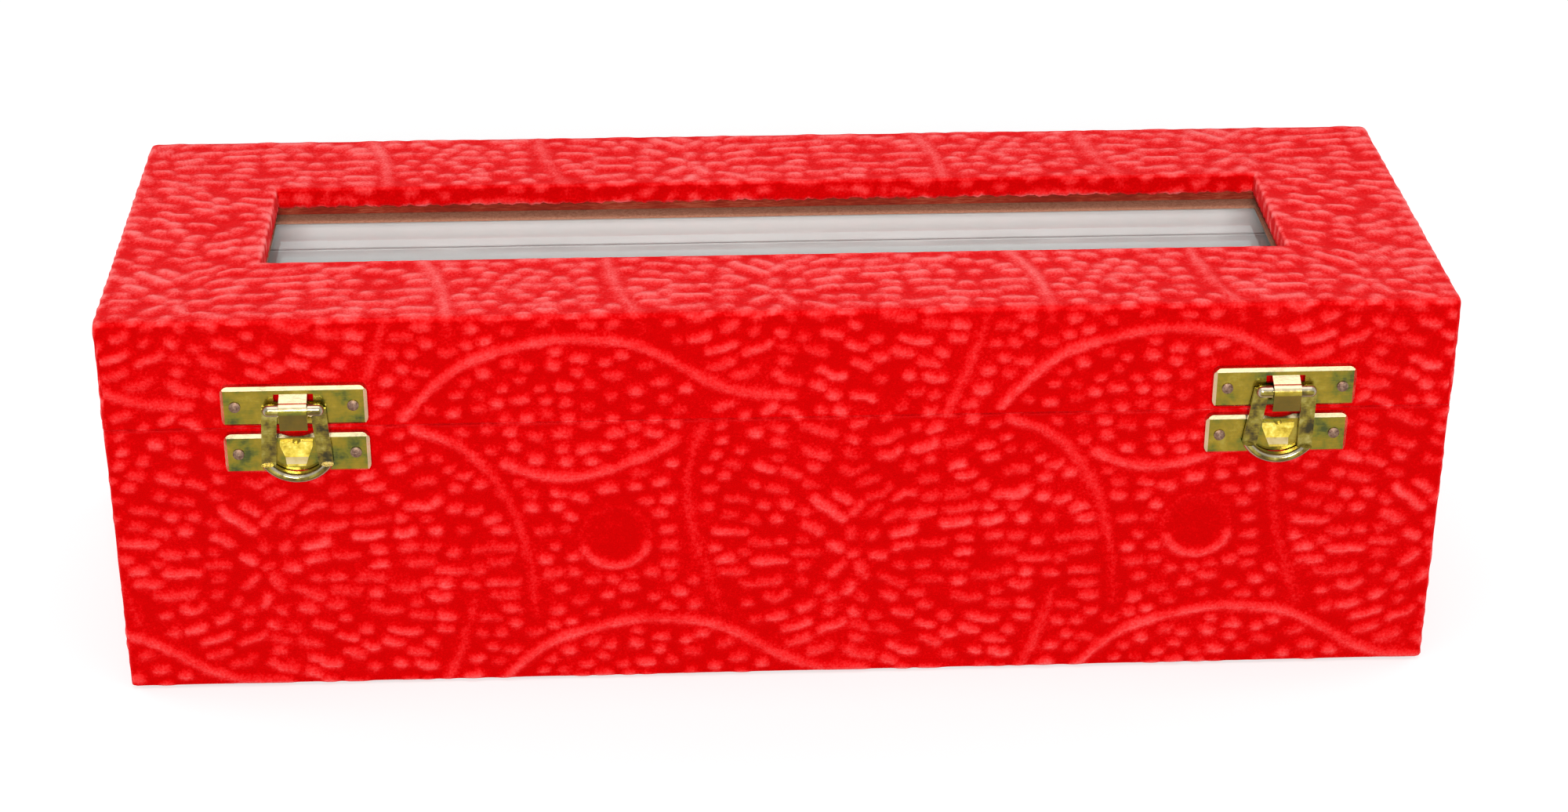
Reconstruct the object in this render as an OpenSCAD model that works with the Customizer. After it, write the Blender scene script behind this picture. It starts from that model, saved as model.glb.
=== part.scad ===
// Bangle box: velvet over board, a lid with a clear window, two snap hasps and a lift-out padded roll.
// Millimetres. X runs along the box, the front faces -Y and Z is up. The origin is the middle of the
// underside.

/* [Box] */
// Length of the closed box over the velvet
box_w = 300; // [240:1:400]
// Depth of the closed box over the velvet, front to back
box_d = 100; // [90:1:140]
// Height of the closed box
box_h = 94; // [88:1:120]
// Height of the lid above the seam
lid_h = 26.5; // [24:0.5:29]
// Gap between the lid and the base at the seam
seam_gap = 0.4; // [0.3:0.1:0.8]
// Thickness of the wall boards
board_t = 5; // [4:0.5:7]
// Thickness of the board in the top of the lid
top_t = 6.2; // [5:0.2:7]
// Thickness of the board in the floor
floor_t = 4; // [3:0.5:6]
// Thickness of the velvet
velvet_t = 0.8; // [0.5:0.1:1.2]
// Thickness of the satin lining on its card
lining_t = 0.9; // [0.5:0.1:1.4]
// Radius of the upright corners of the velvet
corner_r = 1.2; // [0.6:0.1:1.6]

/* [Window] */
// Width of the lid that is left at each end of the window
window_side = 33.5; // [28:0.5:70]
// Depth of the lid that is left in front of the window
window_front = 30; // [24:0.5:32]
// Depth of the lid that is left behind the window
window_back = 29.5; // [24:0.5:34]
// How far the velvet is turned down into the window
window_turn = 4.8; // [2:0.2:5]
// Thickness of the clear pane
pane_t = 2; // [1:0.2:3]
// How far the pane laps under the board on each side
pane_lap = 8; // [5:0.5:12]
// How far the lining is held back from the edge of the window
lining_reveal = 1; // [1:0.5:4]

/* [Underside] */
// Thickness of the paper under the box
paper_t = 0.5; // [0.3:0.1:1]
// How far the paper is held back from the sides
paper_inset = 4; // [2:0.5:8]
// Width of the velvet hem turned under the box
hem_w = 12; // [9:0.5:20]

/* [Floor pad] */
// Height of the pad at its sides
pad_edge = 2; // [1:0.5:3]
// How much higher the pad is in the middle
pad_crown = 2.4; // [1:0.2:3]
// How far the sides of the pad are drawn in between its corners
pad_draw = 1.6; // [0.5:0.1:3]

/* [Roll] */
// Diameter of the wooden dowel
dowel_d = 10; // [8:0.5:12]
// Diameter of the padded roll
roll_d = 40; // [34:1:42]
// Outer diameter of the card tube in the roll
tube_d = 26; // [20:1:28]
// Wall of the card tube
tube_t = 2; // [1:0.5:3]
// Diameter of the wooden end discs
disc_d = 34; // [30:0.5:34]
// Thickness of the end discs
disc_t = 3; // [2:0.5:5]
// Thickness of the sleeve over the padding
sleeve_t = 0.8; // [0.5:0.1:1.2]
// How far the roll rises in its notches before it meets the closed lid
rod_travel = 7.5; // [6:0.5:9]
// Thickness of the notched cradle blocks
cradle_t = 5; // [4:0.5:8]
// Width of the cradle blocks
cradle_w = 40; // [24:1:60]

/* [Hasps] */
// Distance from the left end of the box to the middle of the left hasp
left_hasp_inset = 42.5; // [32:0.5:70]
// Distance from the right end of the box to the middle of the right hasp
right_hasp_inset = 38.5; // [32:0.5:70]
// Length of the hasp plates
plate_w = 32; // [30:0.5:36]
// Height of the hasp plates
plate_h = 9.5; // [9:0.5:12]
// How far the plates stand off the velvet
plate_rise = 2; // [1.6:0.1:2.4]
// Thickness of the brass sheet
plate_sheet = 0.5; // [0.3:0.05:0.7]
// Distance between the nails of a plate
nail_spacing = 25.8; // [24:0.2:27]
// Width of the loop at its widest
loop_w = 15.8; // [15:0.1:17]
// Distance from the loop's pivot down to its lowest edge
loop_drop = 18.1; // [17.5:0.1:19]
// Width of the rolled tab that holds the loop
tab_w = 6.1; // [5:0.1:6.5]
// Width of the snap tongue
tongue_w = 7.2; // [6:0.1:7.4]
// How far the right keeper is nailed to the left of its catch
keeper_slip = 1; // [0:0.1:1.2]
// How far the right loop leans towards its keeper, in degrees
loop_lean = 4; // [0:0.5:5]

/* [Hinges] */
// Distance from an end of the box to the middle of the nearer hinge
hinge_inset = 55; // [30:1:90]
// Length of a hinge
hinge_w = 30; // [24:1:40]
// Height of a hinge leaf above or below the pin
leaf_h = 13; // [11:0.5:18]
// Thickness of a hinge leaf
leaf_t = 0.8; // [0.6:0.1:1]
// Outer radius of the hinge knuckles
knuckle_r = 2; // [1.8:0.1:2.2]
// Diameter of the hinge pin
hinge_pin_d = 1.8; // [1.5:0.1:2]

/* [Nails] */
// Diameter of a nail's shank
nail_d = 1.2; // [1:0.1:1.4]
// Diameter of a nail's head
nail_head_d = 2.5; // [2:0.1:3]
// Height of a nail's head
nail_head_t = 0.6; // [0.4:0.1:1]
// How deep a nail goes into the board
nail_bite = 3.5; // [2.5:0.1:3.8]

/* [Fits] */
// Radial clearance of a turning pin in its bore
running_fit = 0.05; // [0.02:0.01:0.08]
// Radial clearance of a nail in its hole
nail_fit = 0.02; // [0.01:0.01:0.05]
// Clearance beside a piece that turns or lifts
side_gap = 0.3; // [0.2:0.05:0.5]

/* [Hidden] */

$fn = 48;
left = -1;
right = 1;
// Overrun of every cut past the face that it opens
cut = 1;

// Colours
velvet_red = [0.80, 0.03, 0.04];
satin_white = [0.90, 0.87, 0.82];
board_brown = [0.45, 0.30, 0.18];
paper_grey = [0.55, 0.53, 0.50];
card_tan = [0.70, 0.58, 0.42];
foam_cream = [0.92, 0.88, 0.70];
dowel_wood = [0.80, 0.66, 0.45];
brass_yellow = [0.78, 0.66, 0.30];
tongue_yellow = [0.90, 0.78, 0.28];
nail_grey = [0.50, 0.46, 0.40];
clear_pane = [0.80, 0.90, 0.95, 0.35];

// Heights and outlines of the casing
seam_z = box_h - lid_h;
base_top = seam_z - seam_gap / 2;
lid_bottom = seam_z + seam_gap / 2;
shell_w = box_w - 2 * velvet_t;
shell_d = box_d - 2 * velvet_t;
inner_w = shell_w - 2 * board_t;
inner_d = shell_d - 2 * board_t;
lined_w = inner_w - 2 * lining_t;
lined_d = inner_d - 2 * lining_t;
floor_z = paper_t + velvet_t;
floor_top = floor_z + floor_t;
rim_z = base_top - velvet_t;
lid_rim_z = lid_bottom + velvet_t;
top_under = box_h - velvet_t - top_t;
pane_under = top_under - pane_t;
lining_under = pane_under - lining_t;

// Window: its size inside the velvet edge, and how far it lies in front of the middle
window_w = box_w - 2 * window_side;
window_d = box_d - window_front - window_back;
window_shift = (window_back - window_front) / 2;

// Roll: it rises by its travel and stays this far under the lining
lift_gap = 0.6;
roll_z = lining_under - lift_gap - rod_travel - roll_d / 2;
cradle_drop = 0.5;
cradle_top = rim_z - cradle_drop;
cradle_x = lined_w / 2 - cradle_t;
roll_end_gap = 1.5;
roll_half = cradle_x - roll_end_gap;
dowel_end_gap = 0.4;
dowel_chamfer = 0.6;
disc_chamfer = 0.4;
sleeve_round = 3;

// Floor pad: number of divisions along and across, and how square its crown is
pad_w = 2 * (cradle_x - side_gap);
pad_d = lined_d - 2 * side_gap;
pad_nu = 24;
pad_nv = 10;
pad_crown_power = 4;

// Hasps: places on the front, measured out from the velvet
catch_rise = 1.5;
keeper_drop = 0.7;
catch_z = seam_z + catch_rise;
keeper_z = seam_z - keeper_drop - plate_h;
plate_corner_r = 1.7;
plate_bevel = 0.7;
nail_up = 4.9;
pivot_up = 4.8;
pivot_out = 3.7;
pivot_z = catch_z + pivot_up;
pivot_r = 0.85;
tab_r = 2;
tab_root_up = 7.9;
tab_lip_drop = 4.4;
tab_lip_out = 1.3;
tab_lip_back = 55;
slot_w = 1.3;
slot_h = 1.8;
loop_gap = 0.35;
loop_t = 0.9;
loop_ear_r = 1.4;
loop_ear_w = 3.6;
loop_top_w = 14;
loop_bend_r = 9.4;
loop_shoulder_up = 4.3;
loop_bar_r = 1.05;
loop_hole_top_w = 7;
loop_hole_w = 9.4;
loop_bottom = pivot_z - loop_drop;
loop_bend_z = loop_bottom + loop_bend_r;
scoop_r = 12;
scoop_dip = 0.5;

// Snap tongue: distances down from its top edge and out from the keeper
tongue_down = 1.4;
tongue_h = 5.4;
tongue_shoulder_down = 1;
tongue_crease_down = 3.6;
tongue_lip_down = 4.5;
tongue_lip_t = 0.5;
tongue_top_rise = 0.7;
tongue_crease_rise = 1;
tongue_lip_rise = 2.6;
tongue_tip_w = 3.6;
tongue_notch_r = 1;
tongue_stem_d = 1.6;
tongue_rivet_d = 3;
tongue_rivet_t = 0.5;
tongue_top = keeper_z + plate_h - tongue_down;
tongue_mid_z = tongue_top - tongue_h / 2;

// Hinges: the pin lies behind the back face
hinge_y = box_d / 2 + knuckle_r + side_gap;
leaf_start = knuckle_r + side_gap;
hinge_nail_up = 8.6;
hinge_nail_spacing = 20;
leaf_corner_r = 1.5;
knuckle_w = (hinge_w - 2 * side_gap) / 3;

// Places of the hasps, hinges and nails along the box
function latch_x(side) = side * (box_w / 2 - (side > 0 ? right_hasp_inset : left_hasp_inset));
function keeper_x(side) = latch_x(side) - (side > 0 ? keeper_slip : 0);
function hinge_x(side) = side * (box_w / 2 - hinge_inset);
catch_nails_x = [for (side = [left, right]) for (end = [left, right])
    latch_x(side) + end * nail_spacing / 2];
keeper_nails_x = [for (side = [left, right]) for (end = [left, right])
    keeper_x(side) + end * nail_spacing / 2];
hinge_nails_x = [for (side = [left, right]) for (end = [left, right])
    hinge_x(side) + end * hinge_nail_spacing / 2];
catch_nail_z = catch_z + nail_up;
keeper_nail_z = keeper_z + nail_up;
lid_hinge_nail_z = seam_z + hinge_nail_up;
base_hinge_nail_z = seam_z - hinge_nail_up;
nail_dome_r = nail_head_d;

// A box centred on X and Y that stands on a height
module block(size, z) {
    translate([-size[0] / 2, -size[1] / 2, z])
        cube(size);
}

// A rectangle with round corners, centred
module round_rect(w, h, r) {
    square([w - 2 * r, h], center = true);
    square([w, h - 2 * r], center = true);
    for (sx = [left, right]) {
        for (sy = [left, right]) {
            translate([sx * (w / 2 - r), sy * (h / 2 - r)])
                circle(r);
        }
    }
}

// A rod along X between two places
module rod_x(r, x0, x1) {
    translate([x0, 0, 0])
        rotate([0, 90, 0])
            cylinder(r = r, h = x1 - x0);
}

// Turns a flat outline drawn in (out from the front, up) into a bar along X of a width
module front_profile(w) {
    translate([-w / 2, 0, 0])
        rotate([90, 0, 90])
            linear_extrude(w)
                mirror([1, 0])
                    children();
}

// Turns a flat outline drawn in (along, up) into a plate between two distances out from the front
module front_plate(out0, out1) {
    translate([0, -out0, 0])
        rotate([90, 0, 0])
            linear_extrude(out1 - out0)
                children();
}

// Moves a piece to the front face over the velvet, at a place along the box
module on_front(x) {
    translate([x, -box_d / 2, 0])
        children();
}

// Holes along Y at a list of places, through whatever they cross
module nail_holes(places, z, y, r) {
    for (x = places) {
        translate([x, y, z])
            rotate([90, 0, 0])
                cylinder(r = r, h = 2 * (board_t + velvet_t + plate_rise), center = true);
    }
}

// A nail whose head lies this far out from the wall, and whose shank points into it
module nail(head_out) {
    rotate([90, 0, 0]) {
        translate([0, 0, -(velvet_t + nail_bite)])
            cylinder(d = nail_d, h = velvet_t + nail_bite + head_out + nail_head_t / 2);
        translate([0, 0, head_out])
            intersection() {
                cylinder(d = nail_head_d, h = nail_head_t);
                translate([0, 0, nail_head_t - nail_dome_r])
                    sphere(nail_dome_r);
            }
    }
}

module front_nails(places, z) {
    color(nail_grey)
        for (x = places) {
            translate([x, -box_d / 2, z])
                nail(plate_rise);
        }
}

module back_nails(z) {
    color(nail_grey)
        for (x = hinge_nails_x) {
            translate([x, box_d / 2, z])
                rotate([0, 0, 180])
                    nail(leaf_t);
        }
}

// Boards of the base
module base_floor() {
    color(board_brown)
        block([shell_w, shell_d, floor_t], floor_z);
}

module wall_x(side, z0, z1) {
    translate([-shell_w / 2, side * (shell_d - board_t) / 2 - board_t / 2, z0])
        cube([shell_w, board_t, z1 - z0]);
}

module wall_y(side, z0, z1) {
    translate([side * (shell_w - board_t) / 2 - board_t / 2, -inner_d / 2, z0])
        cube([board_t, inner_d, z1 - z0]);
}

module base_front_panel() {
    color(board_brown)
        difference() {
            wall_x(left, floor_top, rim_z);
            nail_holes(keeper_nails_x, keeper_nail_z, -box_d / 2, nail_d / 2 + nail_fit);
        }
}

module base_back_panel() {
    color(board_brown)
        difference() {
            wall_x(right, floor_top, rim_z);
            nail_holes(hinge_nails_x, base_hinge_nail_z, box_d / 2, nail_d / 2 + nail_fit);
        }
}

module base_end(side) {
    color(board_brown)
        wall_y(side, floor_top, rim_z);
}

module base_paper() {
    color(paper_grey)
        block([box_w - 2 * paper_inset, box_d - 2 * paper_inset, paper_t], 0);
}

// Velvet of the base: four sides, a hem turned under and a strip turned over the rim
module base_velvet() {
    color(velvet_red)
        difference() {
            translate([0, 0, paper_t])
                linear_extrude(base_top - paper_t)
                    round_rect(box_w, box_d, corner_r);
            block([shell_w, shell_d, rim_z - floor_z], floor_z);
            block([inner_w, inner_d, base_top - floor_z + cut], floor_z);
            block([shell_w - 2 * hem_w, shell_d - 2 * hem_w, floor_z + cut], 0);
            nail_holes(keeper_nails_x, keeper_nail_z, -box_d / 2, nail_d / 2 + nail_fit);
            nail_holes(hinge_nails_x, base_hinge_nail_z, box_d / 2, nail_d / 2 + nail_fit);
        }
}

module wall_lining(z0, z1) {
    color(satin_white)
        difference() {
            block([inner_w, inner_d, z1 - z0], z0);
            block([lined_w, lined_d, z1 - z0 + 2 * cut], z0 - cut);
        }
}

module base_lining() {
    wall_lining(floor_top, base_top);
}

// Satin pad on the floor: crowned, with its sides drawn in between the corners
function pad_height(u, v) =
    pad_edge + pad_crown * (1 - pow(abs(u), pad_crown_power)) * (1 - pow(abs(v), pad_crown_power));
function pad_point(i, j, top) =
    let (u = 2 * i / pad_nu - 1, v = 2 * j / pad_nv - 1)
    [u * (pad_w / 2 - pad_draw * (1 - v * v)), v * (pad_d / 2 - pad_draw * (1 - u * u)),
        top ? pad_height(u, v) : 0];
pad_row = pad_nu + 1;
pad_layer = pad_row * (pad_nv + 1);
pad_points = [
    for (top = [true, false]) for (j = [0:pad_nv]) for (i = [0:pad_nu]) pad_point(i, j, top)
];
pad_faces = [
    for (j = [0:pad_nv - 1]) for (i = [0:pad_nu - 1])
        let (a = j * pad_row + i, b = a + pad_layer)
        each [[a, a + pad_row, a + pad_row + 1], [a, a + pad_row + 1, a + 1],
            [b, b + pad_row + 1, b + pad_row], [b, b + 1, b + pad_row + 1]],
    for (i = [0:pad_nu - 1])
        let (a = i, b = a + pad_layer, c = pad_nv * pad_row + i, d = c + pad_layer)
        each [[b, a, a + 1], [b, a + 1, b + 1], [d, c + 1, c], [d, d + 1, c + 1]],
    for (j = [0:pad_nv - 1])
        let (a = j * pad_row, b = a + pad_layer, c = a + pad_nu, d = c + pad_layer)
        each [[b + pad_row, a + pad_row, a], [b + pad_row, a, b],
            [d, c, c + pad_row], [d, c + pad_row, d + pad_row]]
];

module floor_pad() {
    color(satin_white)
        translate([0, 0, floor_top])
            polyhedron(points = pad_points, faces = pad_faces);
}

// Cradle block with a notch open at the top for the end of the dowel
module rod_cradle(side) {
    notch_r = dowel_d / 2 + running_fit;
    color(satin_white)
        difference() {
            translate([side > 0 ? cradle_x : -cradle_x - cradle_t, -cradle_w / 2, floor_top])
                cube([cradle_t, cradle_w, cradle_top - floor_top]);
            translate([side * (cradle_x + cradle_t / 2), 0, roll_z]) {
                rod_x(notch_r, -cradle_t, cradle_t);
                translate([-cradle_t, -notch_r, 0])
                    cube([2 * cradle_t, 2 * notch_r, cradle_top - roll_z + cut]);
            }
        }
}

// Stamped plate: a shallow tray turned over, bevelled all round, with its back open
module tray_form(inset) {
    w = plate_w - 2 * inset;
    h = plate_h - 2 * inset;
    rise = plate_rise - inset;
    bevel = plate_bevel;
    intersection() {
        front_plate(-inset, rise)
            round_rect(w, h, plate_corner_r);
        front_profile(w)
            polygon([[-inset, -h / 2], [rise - bevel, -h / 2], [rise, bevel - h / 2],
                [rise, h / 2 - bevel], [rise - bevel, h / 2], [-inset, h / 2]]);
        translate([0, 0, -h / 2])
            linear_extrude(h)
                polygon([[-w / 2, inset], [-w / 2, bevel - rise], [bevel - w / 2, -rise],
                    [w / 2 - bevel, -rise], [w / 2, bevel - rise], [w / 2, inset]]);
    }
}

module tray() {
    difference() {
        tray_form(0);
        tray_form(plate_sheet);
        for (end = [left, right]) {
            translate([end * nail_spacing / 2, 0, nail_up - plate_h / 2])
                rotate([90, 0, 0])
                    cylinder(r = nail_d / 2 + nail_fit, h = plate_rise + cut);
        }
    }
}

// Plate on the lid: its rolled tab carries the pivot of the loop
module catch_plate(side) {
    color(brass_yellow)
        on_front(latch_x(side))
            difference() {
                union() {
                    translate([0, 0, catch_z + plate_h / 2])
                        tray();
                    translate([0, 0, pivot_z])
                        front_profile(tab_w)
                            tab_outline();
                }
                translate([0, -pivot_out, pivot_z])
                    rod_x(pivot_r + running_fit, -tab_w, tab_w);
                for (end = [left, right]) {
                    translate([end * (tab_w + slot_w) / 2, 0, catch_z + tab_root_up - slot_h / 2])
                        front_plate(plate_rise - plate_sheet - cut, plate_rise + cut)
                            square([slot_w, slot_h], center = true);
                }
            }
}

// Section of the tab, out from the front and up from the pivot: a roll with a lip that hangs from it
module tab_outline() {
    root_up = tab_root_up - pivot_up;
    shoulder_out = pivot_out + tab_r * sin(45);
    shoulder_up = tab_r * cos(45);
    translate([pivot_out, 0])
        circle(tab_r);
    polygon([[plate_rise - plate_sheet, 0], [plate_rise - plate_sheet, root_up],
        [plate_rise, root_up], [shoulder_out, shoulder_up], [pivot_out, 0]]);
    translate([pivot_out, 0])
        polygon([[0, 0], [tab_r, 0], [tab_lip_out, -tab_lip_drop],
            [tab_lip_out - plate_sheet, -tab_lip_drop],
            [tab_r * cos(tab_lip_back), -tab_r * sin(tab_lip_back)]]);
}

// Plate on the base, with a thumb scoop in its top edge and a hole for the tongue's rivet
module keeper_plate(side) {
    color(brass_yellow)
        on_front(keeper_x(side))
            difference() {
                translate([0, 0, keeper_z + plate_h / 2])
                    tray();
                translate([0, 0, keeper_z + plate_h + scoop_r - scoop_dip])
                    front_plate(-cut, plate_rise + cut)
                        circle(scoop_r);
                translate([0, 0, tongue_mid_z])
                    front_plate(0, plate_rise + cut)
                        circle(tongue_stem_d / 2 + nail_fit);
            }
}

// Sprung tongue: a shield with a ramp and an undercut lip, held on the keeper by its own rivet
module keeper_tongue(side) {
    back = plate_rise - plate_sheet;
    color(tongue_yellow)
        on_front(keeper_x(side)) {
            translate([0, 0, tongue_top])
                intersection() {
                    front_plate(plate_rise, plate_rise + tongue_lip_rise)
                        tongue_shield();
                    front_profile(tongue_w)
                        tongue_section();
                }
            translate([0, 0, tongue_mid_z]) {
                front_plate(back - tongue_rivet_t, plate_rise + tongue_rivet_t)
                    circle(tongue_stem_d / 2);
                front_plate(back - tongue_rivet_t, back)
                    circle(tongue_rivet_d / 2);
            }
        }
}

// Front view of the tongue, down from its top edge
module tongue_shield() {
    half = tongue_w / 2;
    tip = tongue_tip_w / 2;
    difference() {
        polygon([[-half, 0], [half, 0], [half, -tongue_shoulder_down], [tip, -tongue_h],
            [-tip, -tongue_h], [-half, -tongue_shoulder_down]]);
        translate([0, tongue_notch_r / 2])
            circle(tongue_notch_r);
    }
}

// Side view of the tongue, out from the front and down from its top edge
module tongue_section() {
    translate([plate_rise, 0])
        polygon([[0, 0], [tongue_top_rise, 0], [tongue_crease_rise, -tongue_crease_down],
            [tongue_lip_rise, -tongue_lip_down], [tongue_lip_rise, -tongue_lip_down - tongue_lip_t],
            [0, -tongue_h]]);
}

// Outline of the loop, down from its pivot: straight sides that end in a round bend
module loop_outline(half_top, half_low, bend_r, top) {
    shoulder = loop_shoulder_up - loop_drop;
    intersection() {
        translate([0, loop_bend_r - loop_drop]) {
            circle(bend_r);
            translate([-loop_w, 0])
                square([2 * loop_w, loop_drop]);
        }
        polygon([[-half_top, top], [half_top, top], [half_low, shoulder],
            [half_low, -loop_drop], [-half_low, -loop_drop], [-half_low, shoulder]]);
    }
}

// Sheet and rolled lower edge of the loop, which lean together
module loop_body() {
    back = plate_rise + loop_gap;
    front = back + loop_t;
    difference() {
        front_plate(back, front)
            loop_outline(loop_top_w / 2, loop_w / 2, loop_bend_r, 0);
        front_plate(back - cut, front + cut)
            loop_outline(loop_hole_top_w / 2, loop_hole_w / 2, loop_bend_r - 2 * loop_bar_r,
                loop_bar_r);
    }
    intersection() {
        translate([0, -back - loop_bar_r, loop_bend_r - loop_drop])
            rotate([90, 0, 0])
                rotate_extrude()
                    translate([loop_bend_r - loop_bar_r, 0])
                        circle(loop_bar_r);
        translate([0, -back - loop_bar_r, -loop_drop])
            cube([loop_w, 2 * loop_bar_r, 2 * loop_shoulder_up], center = true);
    }
}

// Rolled ear of the loop, round at its outer end
module loop_ear() {
    inner = (tab_w + side_gap) / 2;
    rod_x(loop_ear_r, inner, inner + loop_ear_w - loop_ear_r);
    translate([inner + loop_ear_w - loop_ear_r, 0, 0])
        sphere(loop_ear_r);
}

module hasp_loop(side) {
    color(brass_yellow)
        on_front(latch_x(side))
            translate([0, 0, pivot_z]) {
                rotate([0, side > 0 ? loop_lean : 0, 0])
                    loop_body();
                translate([0, -pivot_out, 0]) {
                    rod_x(pivot_r, -tab_w, tab_w);
                    loop_ear();
                    mirror([1, 0, 0])
                        loop_ear();
                }
            }
}

// Hinge leaf: 1 turns it up onto the lid, -1 down onto the base
module hinge_plate(up, z_nail) {
    z_mid = up * (leaf_start + leaf_h) / 2;
    difference() {
        translate([0, leaf_t, z_mid])
            rotate([90, 0, 0])
                linear_extrude(leaf_t)
                    round_rect(hinge_w, leaf_h - leaf_start, leaf_corner_r);
        for (end = [left, right]) {
            translate([end * hinge_nail_spacing / 2, 0, z_nail])
                rotate([90, 0, 0])
                    cylinder(r = nail_d / 2 + nail_fit, h = 2 * leaf_t + cut, center = true);
        }
    }
}

module knuckle(x, up) {
    translate([x - knuckle_w / 2, 0, 0]) {
        translate([0, 0, up > 0 ? 0 : -leaf_start - leaf_t])
            cube([knuckle_w, leaf_t, leaf_start + leaf_t]);
        translate([0, knuckle_r + side_gap, 0])
            rod_x(knuckle_r, 0, knuckle_w);
    }
}

module hinge_leaf(side, up, places, bore_r) {
    color(brass_yellow)
        translate([hinge_x(side), box_d / 2, seam_z])
            difference() {
                union() {
                    hinge_plate(up, up * hinge_nail_up);
                    for (x = places) {
                        knuckle(x, up);
                    }
                }
                translate([0, knuckle_r + side_gap, 0])
                    rod_x(bore_r, -hinge_w, hinge_w);
            }
}

module hinge_base_leaf(side) {
    step = knuckle_w + side_gap;
    hinge_leaf(side, -1, [-step, step], hinge_pin_d / 2 + nail_fit);
}

module hinge_lid_leaf(side) {
    hinge_leaf(side, 1, [0], hinge_pin_d / 2 + running_fit);
}

module hinge_pins() {
    color(nail_grey)
        for (side = [left, right]) {
            translate([hinge_x(side), hinge_y, seam_z])
                rod_x(hinge_pin_d / 2, -hinge_w / 2, hinge_w / 2);
        }
}

// Boards of the lid
module at_window(z) {
    translate([0, -window_shift, z])
        children();
}

module lid_top_panel() {
    color(board_brown)
        difference() {
            block([shell_w, shell_d, top_t], top_under);
            at_window(0)
                block([window_w + 2 * velvet_t, window_d + 2 * velvet_t, top_t + 2 * cut],
                    top_under - cut);
        }
}

module lid_front_rail() {
    color(board_brown)
        difference() {
            wall_x(left, lid_rim_z, top_under);
            nail_holes(catch_nails_x, catch_nail_z, -box_d / 2, nail_d / 2 + nail_fit);
        }
}

module lid_back_rail() {
    color(board_brown)
        difference() {
            wall_x(right, lid_rim_z, top_under);
            nail_holes(hinge_nails_x, lid_hinge_nail_z, box_d / 2, nail_d / 2 + nail_fit);
        }
}

module lid_end(side) {
    color(board_brown)
        wall_y(side, lid_rim_z, top_under);
}

// Velvet of the lid: four sides, the top, a strip over the rim and an edge turned into the window
module lid_velvet() {
    color(velvet_red)
        difference() {
            union() {
                difference() {
                    translate([0, 0, lid_bottom])
                        linear_extrude(lid_h - seam_gap / 2)
                            round_rect(box_w, box_d, corner_r);
                    block([shell_w, shell_d, box_h - velvet_t - lid_rim_z], lid_rim_z);
                    block([inner_w, inner_d, lid_rim_z - lid_bottom + 2 * cut], lid_bottom - cut);
                }
                at_window(0)
                    block([window_w + 2 * velvet_t, window_d + 2 * velvet_t, window_turn],
                        box_h - window_turn);
            }
            at_window(0)
                block([window_w, window_d, window_turn + 2 * cut], box_h - window_turn - cut);
            nail_holes(catch_nails_x, catch_nail_z, -box_d / 2, nail_d / 2 + nail_fit);
            nail_holes(hinge_nails_x, lid_hinge_nail_z, box_d / 2, nail_d / 2 + nail_fit);
        }
}

module window_pane() {
    color(clear_pane)
        at_window(0)
            block([window_w + 2 * pane_lap, window_d + 2 * pane_lap, pane_t], pane_under);
}

// Card frame that levels up the underside of the lid round the pane
module pane_frame() {
    color(card_tan)
        difference() {
            block([inner_w, inner_d, pane_t], pane_under);
            at_window(0)
                block([window_w + 2 * (pane_lap + side_gap), window_d + 2 * (pane_lap + side_gap),
                    pane_t + 2 * cut], pane_under - cut);
        }
}

module lid_top_lining() {
    color(satin_white)
        difference() {
            block([inner_w, inner_d, lining_t], lining_under);
            at_window(0)
                block([window_w + 2 * lining_reveal, window_d + 2 * lining_reveal,
                    lining_t + 2 * cut], lining_under - cut);
        }
}

module lid_wall_lining() {
    wall_lining(lid_bottom, lining_under);
}

// The roll and its dowel lie along X at the height of the cradle notches
module on_rod() {
    translate([0, 0, roll_z])
        rotate([0, 90, 0])
            children();
}

module rod_dowel() {
    half = lined_w / 2 - dowel_end_gap;
    r = dowel_d / 2;
    color(dowel_wood)
        on_rod()
            rotate_extrude()
                polygon([[0, -half], [r - dowel_chamfer, -half], [r, dowel_chamfer - half],
                    [r, half - dowel_chamfer], [r - dowel_chamfer, half], [0, half]]);
}

module roll_tube() {
    half = roll_half - disc_t;
    color(card_tan)
        on_rod()
            difference() {
                cylinder(d = tube_d, h = 2 * half, center = true);
                cylinder(d = tube_d - 2 * tube_t, h = 2 * (half + cut), center = true);
            }
}

module roll_disc(side) {
    color(dowel_wood)
        translate([side * (roll_half - disc_t / 2), 0, 0])
            on_rod()
                difference() {
                    rotate_extrude()
                        polygon([[0, -disc_t / 2], [disc_d / 2 - disc_chamfer, -disc_t / 2],
                            [disc_d / 2, disc_chamfer - disc_t / 2],
                            [disc_d / 2, disc_t / 2 - disc_chamfer],
                            [disc_d / 2 - disc_chamfer, disc_t / 2], [0, disc_t / 2]]);
                    cylinder(r = dowel_d / 2 + running_fit, h = disc_t + 2 * cut, center = true);
                }
}

// Half section of the padded roll, with round ends; an inset gives the space inside the sleeve
module roll_section(inset) {
    r = roll_d / 2 - inset;
    half = roll_half - inset;
    round_r = sleeve_round - inset;
    translate([0, -half])
        square([r - round_r, 2 * half]);
    translate([0, round_r - half])
        square([r, 2 * (half - round_r)]);
    for (end = [left, right]) {
        translate([r - round_r, end * (half - round_r)])
            circle(round_r);
    }
}

module roll_core() {
    half = roll_half - disc_t;
    cylinder(d = tube_d, h = 2 * (half + cut), center = true);
    for (end = [left, right]) {
        translate([0, 0, end * (half + disc_t / 2 + cut / 2)])
            cylinder(d = disc_d, h = disc_t + cut, center = true);
    }
}

module roll_padding() {
    color(foam_cream)
        on_rod()
            difference() {
                rotate_extrude()
                    roll_section(sleeve_t);
                roll_core();
            }
}

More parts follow.
